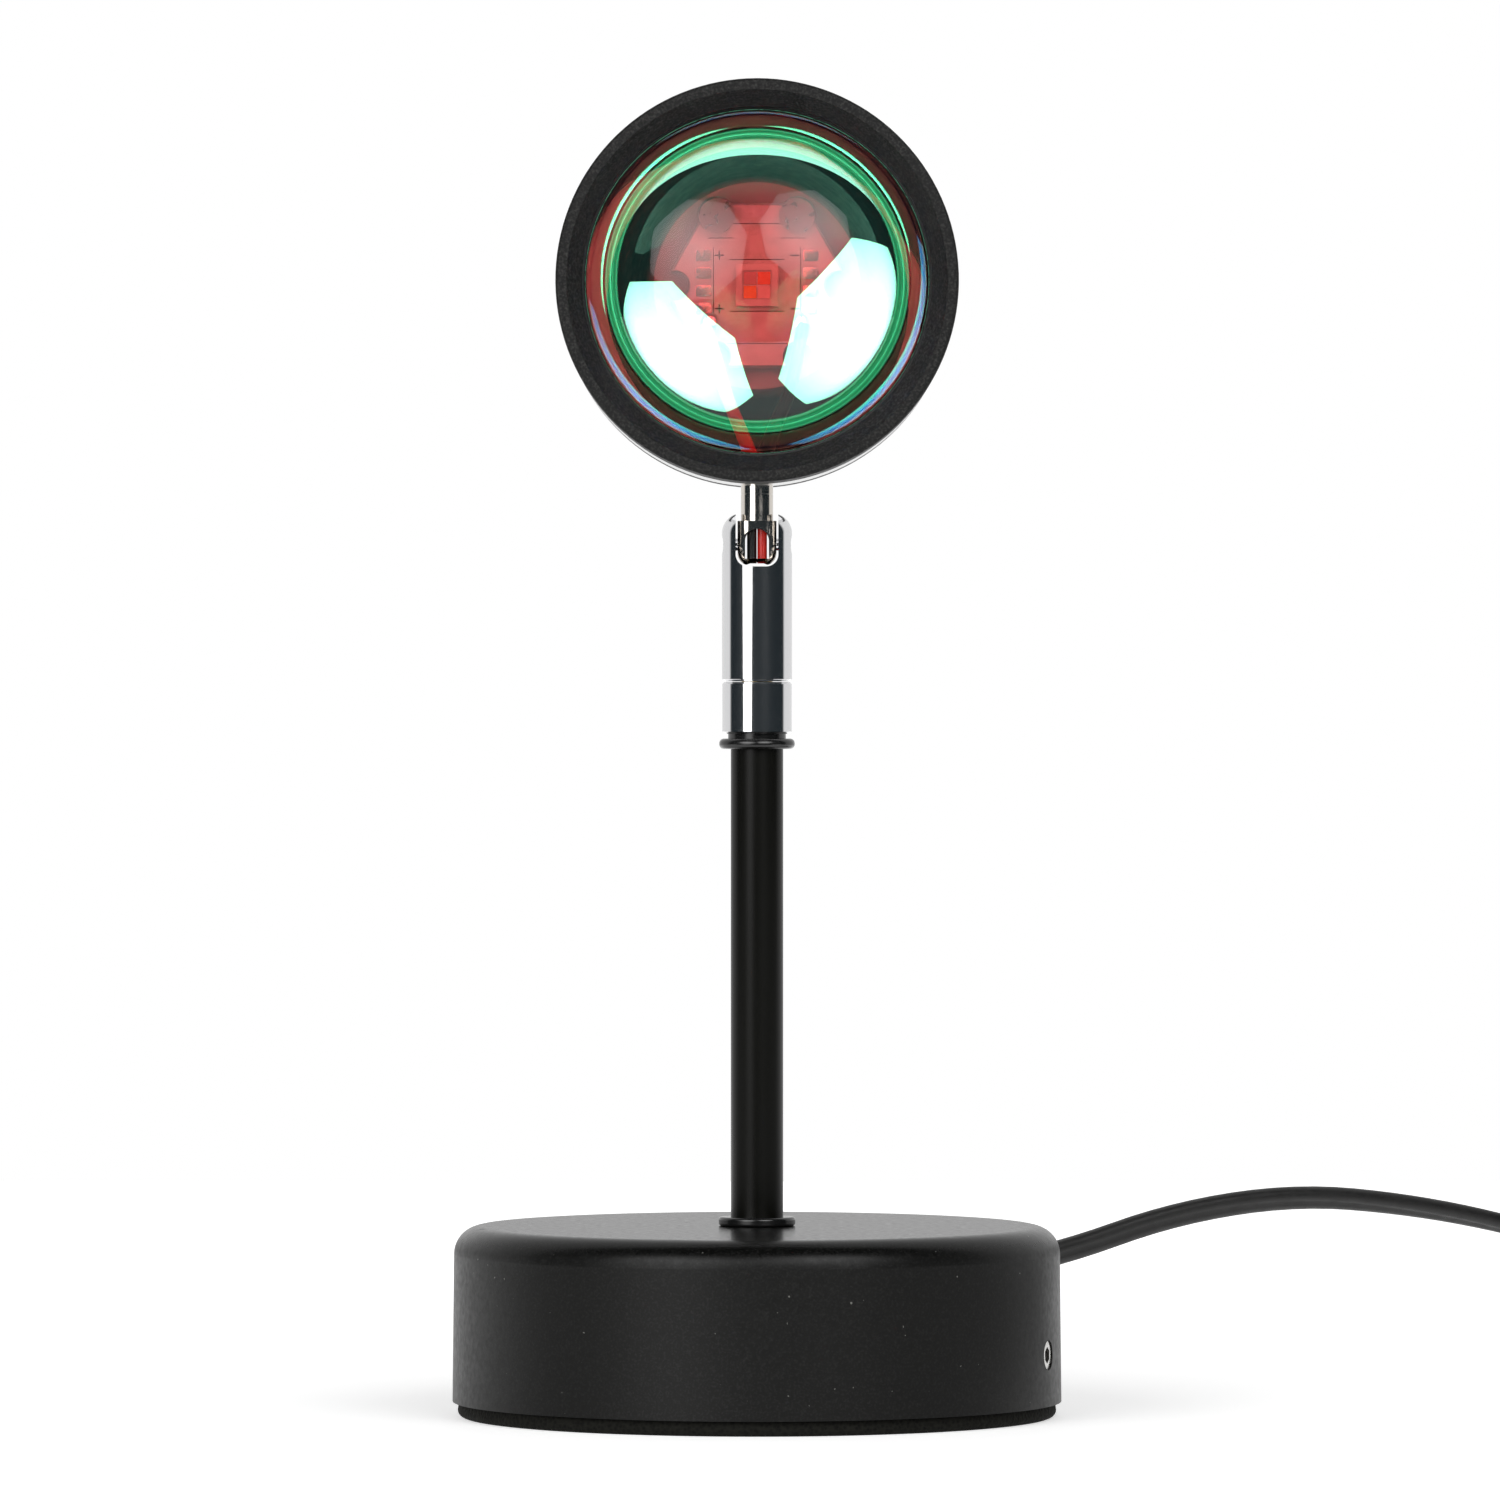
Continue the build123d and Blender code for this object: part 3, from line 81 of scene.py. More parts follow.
def mesh_points(mesh):
    """A mesh's vertices, as the rows of an array."""
    points = np.zeros(len(mesh.vertices) * 3)
    mesh.vertices.foreach_get("co", points)
    return points.reshape(-1, 3)


def middle_of_end(node):
    """The middle of a node's highest end."""
    points = mesh_points(NODES[node].data)
    end_depth = 0.2 * MM
    return points[points[:, 2] > points[:, 2].max() - end_depth].mean(0)


# Places that the frame gives
HEAD_AXIS = sum(corners("head_body")) / 2 * [0, 0, 1]
LENS_LOW, LENS_HIGH = corners("lens")
LENS_APEX, LENS_BACK = LENS_LOW[1], LENS_HIGH[1]
LENS_RIM = (LENS_HIGH[0] - LENS_LOW[0]) / 2
BOARD_FRONT = corners("led_board")[0][1]
(_, SWITCH_BACK, _), (_, SWITCH_FRONT, _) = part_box("switch_bottom")
FLOOR = corners("foam_pad")[0][2]


# Sizes and colours that a user would change
def length(name, description, default):
    """A size in metres."""
    return FloatProperty(name=name, description=description, default=default, min=0.0, unit="LENGTH", precision=5)


def colour(name, description, default):
    """A linear colour."""
    return FloatVectorProperty(
        name=name, description=description, default=default, subtype="COLOR", size=len(default), min=0.0, max=1.0
    )


def share(name, description, default, top=1.0):
    """A plain number."""
    return FloatProperty(name=name, description=description, default=default, min=0.0, max=top)


class CameraSettings(bpy.types.PropertyGroup):
    """Where the picture is taken from."""

    distance: length("Distance", "From the lamp's axis to the camera", 1.7)
    height: length("Height", "Of the camera above the table", 0.120)
    sideways: length("Sideways", "Of the camera to the lamp's left", 0.00115)
    focal: FloatProperty(name="Focal length", description="On a 36 mm sensor", default=248.5, unit="CAMERA")
    pitch: FloatProperty(name="Pitch", description="Downwards", default=math.radians(0.36), subtype="ANGLE")


class LightSettings(bpy.types.PropertyGroup):
    """The two octagonal soft boxes in front, and the room."""

    radiance: share("Soft box", "Brightness of the soft boxes", 3.2, 50.0)
    fill: share("Fill", "Even light from all round", 0.22, 10.0)
    dark_room: colour("Dark room", "What bright metal sees in front", (0.016, 0.022, 0.026))
    white: share("White", "Brightness of the surroundings that bright metal sees", 0.8, 10.0)
    box_distance: length("Box distance", "From the lens to the soft boxes", 1.0)


class LensSettings(bpy.types.PropertyGroup):
    """The lens and its film."""

    dome_radius: length("Dome base", "Radius of the dome where it meets the flange", 0.0278)
    flange: length("Flange", "Thickness of the flange", 0.003)
    ground_seat: length("Ground seat", "Width of the ground ring on the lens's back", 0.002)
    ior: FloatProperty(name="Index", description="Refractive index of the lens", default=1.47, min=1.0, max=2.0)
    film_reflect: colour("Film reflection", "Colour that the film sends back", (0.28, 0.82, 0.58))
    film_pass: colour("Film transmission", "Colour that the film lets through", (0.85, 0.28, 0.28))


class CordSettings(bpy.types.PropertyGroup):
    """The flat cord."""

    width: length("Width", "Of the flat cord", 0.0043)
    thickness: length("Thickness", "Of the flat cord", 0.0029)
    coil_radius: length("Coil radius", "Of the outer turn", 0.0254)
    coil_pitch: length("Coil pitch", "Between turns", 0.0044)
    points_per_turn: IntProperty(name="Points per turn", description="Of the coil", default=16, min=12)
    sheath: colour("Sheath", "Colour of the cord", (0.007, 0.0067, 0.0063))


class LampSettings(bpy.types.PropertyGroup):
    """All of the lamp's settings."""

    camera: PointerProperty(type=CameraSettings)
    light: PointerProperty(type=LightSettings)
    lens: PointerProperty(type=LensSettings)
    cord: PointerProperty(type=CordSettings)


# Mesh helpers
def signed_volume(mesh):
    """The volume within a closed mesh: a sixth of the sum of a . (b x c) over its triangles. It is below zero if the
    mesh is inside out."""
    mesh.calc_loop_triangles()
    order = np.zeros(len(mesh.loop_triangles) * 3, np.int32)
    mesh.loop_triangles.foreach_get("vertices", order)
    a, b, c = mesh_points(mesh)[order.reshape(-1, 3)].transpose(1, 0, 2)
    return np.einsum("ij,ij->", a, np.cross(b, c)) / 6


def mesh_piece(name, vertices, faces, body, slot, materials, smooth=True, uv=None, face_slots=None):
    """Make an object from arrays, turn it right side out, and let it ride on a body."""
    mesh = bpy.data.meshes.new(name)
    mesh.from_pydata(vertices.tolist(), [], faces)
    mesh.validate()
    if signed_volume(mesh) < 0:
        mesh.flip_normals()
    for material in materials:
        mesh.materials.append(material)
    mesh.polygons.foreach_set("use_smooth", np.full(len(mesh.polygons), smooth))
    if face_slots is not None:
        mesh.polygons.foreach_set("material_index", np.asarray(face_slots, np.int32))
    if uv is not None:
        layer = mesh.uv_layers.new(name="UVMap")
        order = np.zeros(len(mesh.loops), np.int32)
        mesh.loops.foreach_get("vertex_index", order)
        layer.data.foreach_set("uv", uv[order].astype(np.float32).ravel())
    piece = bpy.data.objects.new(name, mesh)
    bpy.context.scene.collection.objects.link(piece)
    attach(piece, body)
    return piece


def grid_faces(rows, columns, wrap_rows=False):
    """Quads of a grid of rows x columns vertices whose rows are closed, and its columns too where asked."""
    i = np.arange(rows if wrap_rows else rows - 1)[:, None]
    j = np.arange(columns)[None, :]
    i2, j2 = (i + 1) % rows, (j + 1) % columns
    quads = np.stack([i * columns + j, i * columns + j2, i2 * columns + j2, i2 * columns + j], -1)
    return quads.reshape(-1, 4)


def fan(centre, first, count, flip=False):
    """Triangles from a centre vertex to a closed row of vertices, turned over where asked."""
    row = first + np.arange(count)
    pair = [row, np.roll(row, -1)]
    return np.stack([np.full(count, centre), *(pair[::-1] if flip else pair)], -1)


def full_turn(count):
    """Evenly spaced angles round a circle, without the last."""
    return np.linspace(0, 2 * math.pi, count, endpoint=False)


def run_along(line):
    """The distance along a line at each of its points."""
    return np.concatenate([[0], np.cumsum(np.linalg.norm(np.diff(line, axis=0), axis=1))])


def powered(wave, power):
    """A wave raised to a power, with its sign kept."""
    return np.sign(wave) * np.abs(wave) ** power


def eased(t):
    """A smooth step: 3 t^2 - 2 t^3."""
    return t**2 * (3 - 2 * t)


def on_head(points):
    """From (along the head's axis, across, up) to the shared frame."""
    return points[:, [1, 0, 2]] + HEAD_AXIS


def turned(profile, segments, place):
    """Surface of revolution: point = place(axial, radius cos t, radius sin t) for a profile of (axial, radius).
    The profile starts and ends on the axis, where it gets one pole vertex each."""
    angle = full_turn(segments)
    axial, radius = profile[1:-1, :1], profile[1:-1, 1:]
    rows = np.stack(np.broadcast_arrays(axial, radius * np.cos(angle), radius * np.sin(angle)), -1).reshape(-1, 3)
    poles = profile[[0, -1], :1] * [1, 0, 0]
    faces = grid_faces(len(profile) - 2, segments).tolist()
    faces += fan(len(rows), 0, segments, flip=True).tolist()
    faces += fan(len(rows) + 1, len(rows) - segments, segments).tolist()
    return place(np.concatenate([rows, poles])), faces


def band_slots(marks, segments):
    """The material slot of every face of a turned piece, from a mark for each step of its profile."""
    return np.concatenate([np.repeat(marks[1:-1], segments), np.repeat(marks[[0, -1]], segments)])


def stamped(centres, halves, tops, square, columns=24):
    """Small closed mounds on the board, all in one mesh. Each is a superellipse |x/a|^k + |z/b|^k = 1, k = 2 / square,
    drawn in towards its top: each ring's share of the outline and of the height is a row of tops, from the foot up."""
    t = full_turn(columns)
    edge = powered(np.stack([np.cos(t), np.sin(t)], -1), square)
    rows = np.array(tops)
    flat = centres[:, None, None] + halves[:, None, None, :2] * rows[:, None, :1] * edge
    rise = np.broadcast_to((halves[:, 2:] * rows[:, 1])[:, :, None, None], (*flat.shape[:3], 1))
    rings = np.concatenate([BOARD_FRONT - rise, flat], -1).reshape(len(centres), -1, 3)
    foot, top = (np.concatenate([BOARD_FRONT - level * halves[:, 2:], centres], 1) for level in (0, rows[-1, 1]))
    points = np.concatenate([rings, np.stack([foot, top], 1)], 1)
    count = points.shape[1]
    fans = np.concatenate([fan(count - 2, 0, columns, flip=True), fan(count - 1, count - 2 - columns, columns)])
    shift = np.arange(len(centres))[:, None, None] * count
    faces = (grid_faces(len(rows), columns) + shift).reshape(-1, 4).tolist()
    return on_head(points.reshape(-1, 3)), faces + (fans + shift).reshape(-1, 3).tolist()


def arc(centre, radius, start, end, count):
    """Points on a circle from one angle to another, in degrees, both ends included."""
    angle = np.radians(np.linspace(start, end, count))
    return np.stack([centre[0] + radius * np.cos(angle), centre[1] + radius * np.sin(angle)], -1)


def outline(*runs):
    """Join runs of points to one profile."""
    return np.concatenate([np.atleast_2d(np.array(run, float)) for run in runs])


def between(start, end, count):
    """Evenly spaced points after start up to end."""
    t = np.linspace(0, 1, count + 1)[1:, None]
    return np.array(start) * (1 - t) + np.array(end) * t


# Material helpers
NOISE_SPAN = (0.3, 0.7)  # where most of a fractal noise's values lie


class Nodes:
    """A node tree, and short ways to add to it."""

    def __init__(self, tree):
        self.tree = tree
        self.coordinates = self.add("ShaderNodeTexCoord").outputs

    def add(self, kind, *values, operation=None, **inputs):
        """A new node, with links or values for its sockets in order or by name."""
        node = self.tree.nodes.new(kind)
        if operation is not None:
            node.operation = operation
        for socket, value in zip(node.inputs, values):
            self.feed(value, socket)
        for socket, value in inputs.items():
            self.feed(value, node.inputs[socket.replace("_", " ")])
        return node

    def link(self, start, end):
        self.tree.links.new(start, end)

    def feed(self, value, socket):
        """Give a socket a link, a colour, a vector or a number."""
        if isinstance(value, bpy.types.NodeSocket):
            self.link(value, socket)
        else:
            socket.default_value = (*value, 1.0) if socket.type == "RGBA" else value

    def math(self, operation, *values):
        """One calculation on links and numbers."""
        return self.add("ShaderNodeMath", *values, operation=operation).outputs["Value"]

    def mixed(self, factor, first, second):
        """Mix two colours, each a link or a value."""
        node = self.add("ShaderNodeMix")
        node.data_type = "RGBA"
        for socket, value in (("Factor", factor), ("A", first), ("B", second)):
            self.feed(value, node.inputs[socket])
        return node.outputs["Result"]

    def bands(self, factor, *stops):
        """A ramp through colours, or greys for single numbers, each given with its place."""
        node = self.add("ShaderNodeValToRGB", Fac=factor)
        elements = node.color_ramp.elements
        elements.remove(elements[1])
        elements[0].position = stops[0][0]
        for k, (place, tone) in enumerate(stops):
            element = elements.new(place) if k else elements[0]
            element.color = (*tone, 1.0) if hasattr(tone, "__len__") else (tone, tone, tone, 1.0)
        return node.outputs["Color"]

    def ramp(self, factor, low, high, start=0.0, end=1.0):
        """A ramp between two colours or greys."""
        return self.bands(factor, (start, low), (end, high))

    def split(self, vector):
        """A vector's X, Y and Z."""
        return self.add("ShaderNodeSeparateXYZ", Vector=vector).outputs

    def mapped(self, source="Object", **inputs):
        """Coordinates, moved or stretched."""
        return self.add("ShaderNodeMapping", Vector=self.coordinates[source], **inputs).outputs["Vector"]

    def distance(self, point=(0, 0, 0)):
        """How far a place on the piece is from a point."""
        node = self.add("ShaderNodeVectorMath", self.coordinates["Object"], tuple(point), operation="DISTANCE")
        return node.outputs["Value"]

    def noise(self, scale, detail=2.0, rough=0.5, stretch=None, source="Object"):
        """Fractal noise on the piece's own coordinates, stretched along an axis where asked."""
        where = self.coordinates[source] if stretch is None else self.mapped(source, Scale=stretch)
        return self.add("ShaderNodeTexNoise", Vector=where, Scale=scale, Detail=detail, Roughness=rough).outputs["Fac"]

    def cells(self, where, scale):
        """How far a place is from the middle of its cell, for scattered cells."""
        return self.add("ShaderNodeTexVoronoi", Vector=where, Scale=scale).outputs["Distance"]


class Finish(Nodes):
    """A material with a principled shader, and short ways to vary it."""

    def __init__(self, name, base=(0.8, 0.8, 0.8), roughness=0.5, metallic=0.0, specular=0.5, **sockets):
        self.material = bpy.data.materials.new(name)
        self.material.use_nodes = True
        super().__init__(self.material.node_tree)
        self.shader = self.tree.nodes["Principled BSDF"]
        self.set("Base Color", base)
        self.set("Roughness", roughness)
        self.set("Metallic", metallic)
        self.set("Specular IOR Level", specular)
        for socket, value in sockets.items():
            self.set(socket.replace("_", " "), value)

    def set(self, socket, value):
        self.feed(value, self.shader.inputs[socket])

    def colour_from(self, factor, low, high, start=0.0, end=1.0):
        self.set("Base Color", self.ramp(factor, low, high, start, end))

    def clouded(self, scale, tint, low, high):
        """A base colour that wanders between two shares of a tint."""
        shades = [tuple(k * c for c in tint) for k in (low, high)]
        self.colour_from(self.noise(scale), *shades, *NOISE_SPAN)

    def roughness_from(self, factor, low, high, start=0.0, end=1.0):
        self.set("Roughness", self.ramp(factor, low, high, start, end))

    def uneven(self, scale, low, high, **noise):
        """A roughness that wanders between two values."""
        self.roughness_from(self.noise(scale, **noise), low, high, *NOISE_SPAN)

    def bump(self, height, depth, strength=0.5):
        """Bump of a real depth in metres."""
        node = self.add("ShaderNodeBump", Strength=strength, Distance=depth, Height=height)
        self.set("Normal", node.outputs["Normal"])

    def grain(self, scale, depth, strength=0.5, **noise):
        """Bump of fractal noise."""
        self.bump(self.noise(scale, **noise), depth, strength)

    def show(self, shader):
        """Send another shader to the output."""
        self.link(shader, self.tree.nodes["Material Output"].inputs["Surface"])

    def mix_in(self, factor, shader):
        """Show another shader over the principled one, as far as the factor says."""
        mix = self.add("ShaderNodeMixShader", factor, self.shader.outputs["BSDF"], shader)
        self.show(mix.outputs["Shader"])

    def swap(self, shader):
        """Show another shader in place of the principled one."""
        self.show(shader)
        self.tree.nodes.remove(self.shader)


# Materials
def powder_black():
    """Black powder coat: a fine orange-peel skin, smoother where it flowed out on the top, with small pale specks."""
    f = Finish("powder_black", (0.006, 0.006, 0.006), 0.4, specular=0.2)
    peel = f.noise(2600, 3.0)
    skin = f.ramp(peel, (0.0025, 0.0025, 0.0022), (0.012, 0.012, 0.0115), 0.48, 0.8)
    specks = f.ramp(f.noise(1100, 1.0), 0.0, 1.0, 0.79, 0.82)
    f.set("Base Color", f.mixed(specks, skin, (0.14, 0.14, 0.13)))
    settled = f.ramp(f.split(f.coordinates["Normal"])["Z"], 0.40, 0.23, 0.2, 0.7)
    patchy = f.ramp(f.noise(900), 0.87, 1.13, *NOISE_SPAN)
    f.set("Roughness", f.math("MULTIPLY", settled, patchy))
    f.bump(peel, 6 * MICRON)
    return f.material


def satin_black():
    """Smooth satin paint on the pole, with faint draw lines along it."""
    f = Finish("satin_black", (0.003, 0.003, 0.0022), 0.3, specular=0.15)
    f.uneven(300, 0.24, 0.34, stretch=(1, 1, 0.04))
    f.grain(1400, 10 * MICRON, stretch=(1, 1, 0.15))
    return f.material


def gloss_black(name, roughness):
    """Glossy black moulding with a faint waviness."""
    f = Finish(name, (0.008, 0.008, 0.008), roughness)
    f.uneven(500, roughness * 0.8, roughness * 1.5)
    f.grain(260, 20 * MICRON, 0.4)
    return f.material


def grained_black():
    """Matt black paint over a fine blasted grain, with a few bright grains."""
    f = Finish("grained_black", (0.02, 0.02, 0.02), 0.55, specular=0.25)
    f.colour_from(f.noise(2400, 3.0), 0.003, (0.034, 0.033, 0.031), 0.46, 0.8)
    f.uneven(1400, 0.46, 0.66)
    f.grain(2000, 70 * MICRON, 0.8, detail=3.0)
    return f.material


def mirror_chrome(name, tint, roughness=0.04):
    """Bright plating: a mirror under a faint haze, with finger smudges and fine scratches along it."""
    f = Finish(name, tint, roughness, metallic=1.0, Coat_Weight=0.9, Coat_Roughness=0.3)
    smudge = f.noise(180, 4.0, 0.65)
    scratch = f.noise(1500, stretch=(1, 1, 0.06))
    worn = f.math("MULTIPLY", smudge, f.math("ADD", scratch, 0.6))
    f.roughness_from(worn, roughness * 0.8, roughness * 2.5, 0.45, 0.95)
    f.grain(420, 6 * MICRON, stretch=(1, 1, 0.25))
    return f.material


def plain_metal(name, tint, roughness):
    """Turned or rolled metal with a fine brushed grain."""
    f = Finish(name, tint, roughness, metallic=1.0)
    f.uneven(900, roughness * 0.75, roughness * 1.35, detail=3.0)
    f.grain(1800, 10 * MICRON)
    return f.material


def cast_metal():
    """Raw casting for the hidden weight."""
    f = Finish("cast_metal", (0.10, 0.10, 0.10), 0.7, metallic=0.6)
    f.grain(600, 200 * MICRON, 0.8, detail=4.0)
    return f.material


def soft_rubber():
    """Smooth black rubber."""
    f = Finish("soft_rubber", (0.011, 0.011, 0.011), 0.38)
    f.uneven(700, 0.304, 0.475)
    f.grain(1200, 20 * MICRON)
    return f.material


def moulded_plastic(name, tint, roughness=0.5):
    """Moulded plastic with a fine spark-eroded grain."""
    f = Finish(name, tint, roughness)
    grain = 2200
    f.clouded(grain / 8, tint, 0.85, 1.15)
    f.uneven(grain / 3, roughness * 0.88, roughness * 1.12)
    f.grain(grain, 30 * MICRON, 0.6)
    return f.material


def foam_cells():
    """Closed-cell foam: dull, with small open cells where it was cut, each darker towards its sunken middle as painted
    shade.
    """
    f = Finish("foam_cells", (0.007, 0.007, 0.006), 0.85, specular=0.12)
    cells = f.cells(f.coordinates["Object"], 1500)
    # Painted shade: each cell is darkest at its middle, where the bump sinks in.
    f.colour_from(cells, (0.003, 0.003, 0.0025), (0.010, 0.010, 0.008), 0.1, 0.7)
    f.bump(cells, 150 * MICRON, 0.7)
    return f.material


def wire_sheath(name, tint):
    """Glossy insulation."""
    f = Finish(name, tint, 0.3)
    f.clouded(800, tint, 0.8, 1.0)
    f.grain(900, 10 * MICRON, 0.4)
    return f.material


def cord_sheath(tint):
    """Soft black sheath with a faint drawn grain along the cord's UV map."""
    f = Finish("cord_sheath", tint, 0.42)
    f.clouded(900, tint, 0.7, 1.25)
    f.uneven(400, 0.36, 0.5)
    f.grain(500, 30 * MICRON, stretch=(0.3, 20.0, 1.0), source="UV")
    return f.material


def strap_weave():
    """Hook-and-loop strap: rows of short loops on its UV map."""
    f = Finish("strap_weave", (0.018, 0.018, 0.018), 0.9, specular=0.2, Sheen_Weight=0.4)
    loops = f.cells(f.mapped("UV", Scale=(2200, 1500, 1)), 1.0)
    f.colour_from(loops, 0.03, 0.008, 0.1, 0.8)
    f.bump(loops, 300 * MICRON, 0.8)
    return f.material


def black_anodised():
    """Black anodised aluminium with fine turning rings about the head's axis."""
    f = Finish("black_anodised", (0.03, 0.03, 0.032), 0.34, metallic=0.2)
    place = f.mapped(Location=tuple(-HEAD_AXIS))
    rings = f.add("ShaderNodeTexWave", Vector=place, Scale=500.0, Distortion=0.4)
    rings.wave_type = "RINGS"
    rings.rings_direction = "Y"
    f.roughness_from(rings.outputs["Fac"], 0.28, 0.42)
    f.bump(rings.outputs["Fac"], 10 * MICRON)
    return f.material


def faced_post():
    """The board's post: a dull faced front and a blackened side."""
    bare = (0.30, 0.30, 0.31)
    f = Finish("dull_aluminium", bare, 0.5, specular=0.1)
    front = corners("sink_post")[0][1]
    depth = f.math("SUBTRACT", f.split(f.coordinates["Object"])["Y"], front)
    f.colour_from(depth, bare, 0.006, 0.2 * MM, 0.4 * MM)
    f.uneven(900, 0.42, 0.58)
    f.grain(1500, 10 * MICRON)
    return f.material


def board_mask():
    """White solder mask over copper, slightly clouded."""
    f = Finish("board_mask", (0.62, 0.62, 0.60), 0.32)
    f.colour_from(f.noise(500, 3.0), (0.56, 0.56, 0.54), (0.70, 0.70, 0.68), 0.35, 0.65)
    f.uneven(900, 0.26, 0.4)
    f.grain(1300, 20 * MICRON, 0.4)
    return f.material


def lens_glass(settings):
    """Clear lens. Shadow and diffuse rays pass straight, so that the light reaches the board behind it."""
    f = Finish("lens_glass", (0.97, 1.0, 0.99), 0.0, IOR=settings.ior, Transmission_Weight=1.0)
    f.grain(90, 4 * MICRON, 0.25)
    rays = f.add("ShaderNodeLightPath").outputs
    straight = f.math("MAXIMUM", rays["Is Shadow Ray"], rays["Is Diffuse Ray"])
    f.mix_in(straight, f.add("ShaderNodeBsdfTransparent").outputs["BSDF"])
    return f.material


def painted_glow_edge(front):
    """The lens's ground edge, painted green as a painted reflection of the film, brighter along its two corners as a
    painted highlight, and given a weak glow as painted light though it is no lamp.
    """
    # Painted light: the green colour and the weak emission stand in for the film's light on the edge.
    f = Finish("painted_glow_edge", (0.3, 0.95, 0.55), 0.9, specular=0.2, Emission_Strength=0.4)
    middle = (front + LENS_BACK) / 2
    off = f.math("ABSOLUTE", f.math("SUBTRACT", f.split(f.coordinates["Object"])["Y"], middle))
    corner = f.math("DIVIDE", off, LENS_BACK - middle)
    # Painted highlight: colour and glow grow brighter towards the edge's two corners.
    f.colour_from(corner, (0.16, 0.62, 0.36), (0.42, 1.0, 0.72), 0.3)
    f.set("Emission Color", f.ramp(corner, (0.03, 0.30, 0.14), (0.30, 1.0, 0.62), 0.3))
    f.grain(2500, 30 * MICRON, 0.6)
    return f.material


def film_coating(settings):
    """Colour-splitting film: it reflects green, bluer at a slant, and lets red through."""
    f = Finish("film_coating")
    slant = f.add("ShaderNodeLayerWeight", Blend=0.35).outputs["Facing"]
    reflect = f.bands(
        slant, (0.08, settings.film_reflect), (0.14, (0.08, 0.42, 0.46)), (0.20, (0.02, 0.13, 0.36)),
        (0.28, (0.01, 0.05, 0.28)), (0.45, (0.03, 0.01, 0.10)),
    )
    mirror = f.add("ShaderNodeBsdfGlossy", Color=reflect, Roughness=0.0)
    clear = f.add("ShaderNodeBsdfTransparent", Color=settings.film_pass)
    both = f.add("ShaderNodeAddShader", clear.outputs["BSDF"], mirror.outputs["BSDF"])
    f.swap(both.outputs["Shader"])
    return f.material


def clear_back():
    """The film's plain back, which only lets light through."""
    f = Finish("clear_back")
    f.swap(f.add("ShaderNodeBsdfTransparent").outputs["BSDF"])
    return f.material


def chip_glow():
    """Four phosphor dots: amber, red, rose and pale, by their place about the head's axis."""
    f = Finish("chip_glow", (0.8, 0.4, 0.1), 0.25)
    place = f.split(f.mapped(Location=tuple(-HEAD_AXIS)))
    right, top = (f.math("GREATER_THAN", place[axis], 0.0) for axis in "XZ")
    lower = f.ramp(right, (0.90, 0.30, 0.02), (0.80, 0.55, 0.50))
    upper = f.ramp(right, (0.62, 0.30, 0.28), (0.85, 0.16, 0.03))
    f.set("Base Color", f.mixed(top, lower, upper))
    f.uneven(4000, 0.2, 0.4)
    f.grain(6000, 10 * MICRON)
    return f.material


# Operators: one for each piece or group of like pieces
class LampOperator(bpy.types.Operator):
    """Shared by the lamp's operators."""

    bl_options = {"REGISTER", "UNDO"}

    @property
    def settings(self):
        return bpy.context.scene.lamp_settings


class LAMP_OT_camera(LampOperator):
    """Place the camera where the photograph was taken from"""

    bl_idname = "lamp.camera"
    bl_label = "Camera"

    def execute(self, context):
        s = self.settings.camera
        data = bpy.data.cameras.new("camera")
        data.sensor_width = 36.0
        data.lens = s.focal
        data.clip_start = 0.05
        data.clip_end = 50.0
        camera = bpy.data.objects.new("camera", data)
        camera.location = (-s.sideways, -s.distance, s.height)
        camera.rotation_euler = (math.radians(90) - s.pitch, 0, 0)
        context.scene.collection.objects.link(camera)
        context.scene.camera = camera
        return {"FINISHED"}


# The cord's route in metres: from the gland to the coil, from the coil to the switch, and on to the plug
GLAND_AZIMUTH = math.radians(162.0)
GLAND_REACH = 0.06175
GLAND_HEIGHT = 0.018
EXIT = (GLAND_REACH * math.sin(GLAND_AZIMUTH), -GLAND_REACH * math.cos(GLAND_AZIMUTH), GLAND_HEIGHT)
LEAD_ROUTE = [
    EXIT,
    (0.0246, 0.0757, 0.0180),
    (0.0355, 0.0905, 0.0184),
    (0.0525, 0.1015, 0.0208),
    (0.0730, 0.1110, 0.0276),
    (0.0950, 0.1210, 0.0304),
    (0.1160, 0.1330, 0.0280),
    (0.1355, 0.1455, 0.0236),
    (0.1545, 0.1507, 0.0176),
    (0.1720, 0.1480, 0.0112),
    (0.1855, 0.1380, 0.0064),
    (0.1928, 0.1240, 0.0036),
    (0.1934, 0.1085, 0.0031),
    (0.1934, 0.0938, 0.0031),
]
COIL_CENTRE = (0.168, 0.090)
COIL_FLOOR = 0.0031
COIL_LAYERS = 4
COIL_LAYER_TURNS = 1.625
COIL_CLIMB_TURNS = 0.5
TAIL_ROUTE = [
    (0.1934, 0.0862, 0.0163),
    (0.1934, 0.0760, 0.0163),
    (0.1934, 0.0655, 0.0122),
    (0.1934, 0.0550, 0.0070),
    (0.1934, SWITCH_FRONT, 0.0070),
]
END_ROUTE = [
    (0.1934, SWITCH_BACK, 0.0070),
    (0.1934, -0.0190, 0.0070),
    (0.1850, -0.0306, 0.0046),
    (0.1714, -0.0350, 0.0024),
    (0.1578, -0.0306, 0.0026),
    (0.1494, -0.0190, 0.0040),
    (0.1494, -0.0050, 0.0040),
]
EDGE_RUN = 0.045  # the cord lies on edge this far from the gland
TURNING_RUN = 0.16  # and turns flat over this length
EDGE_LEAN = math.radians(78)


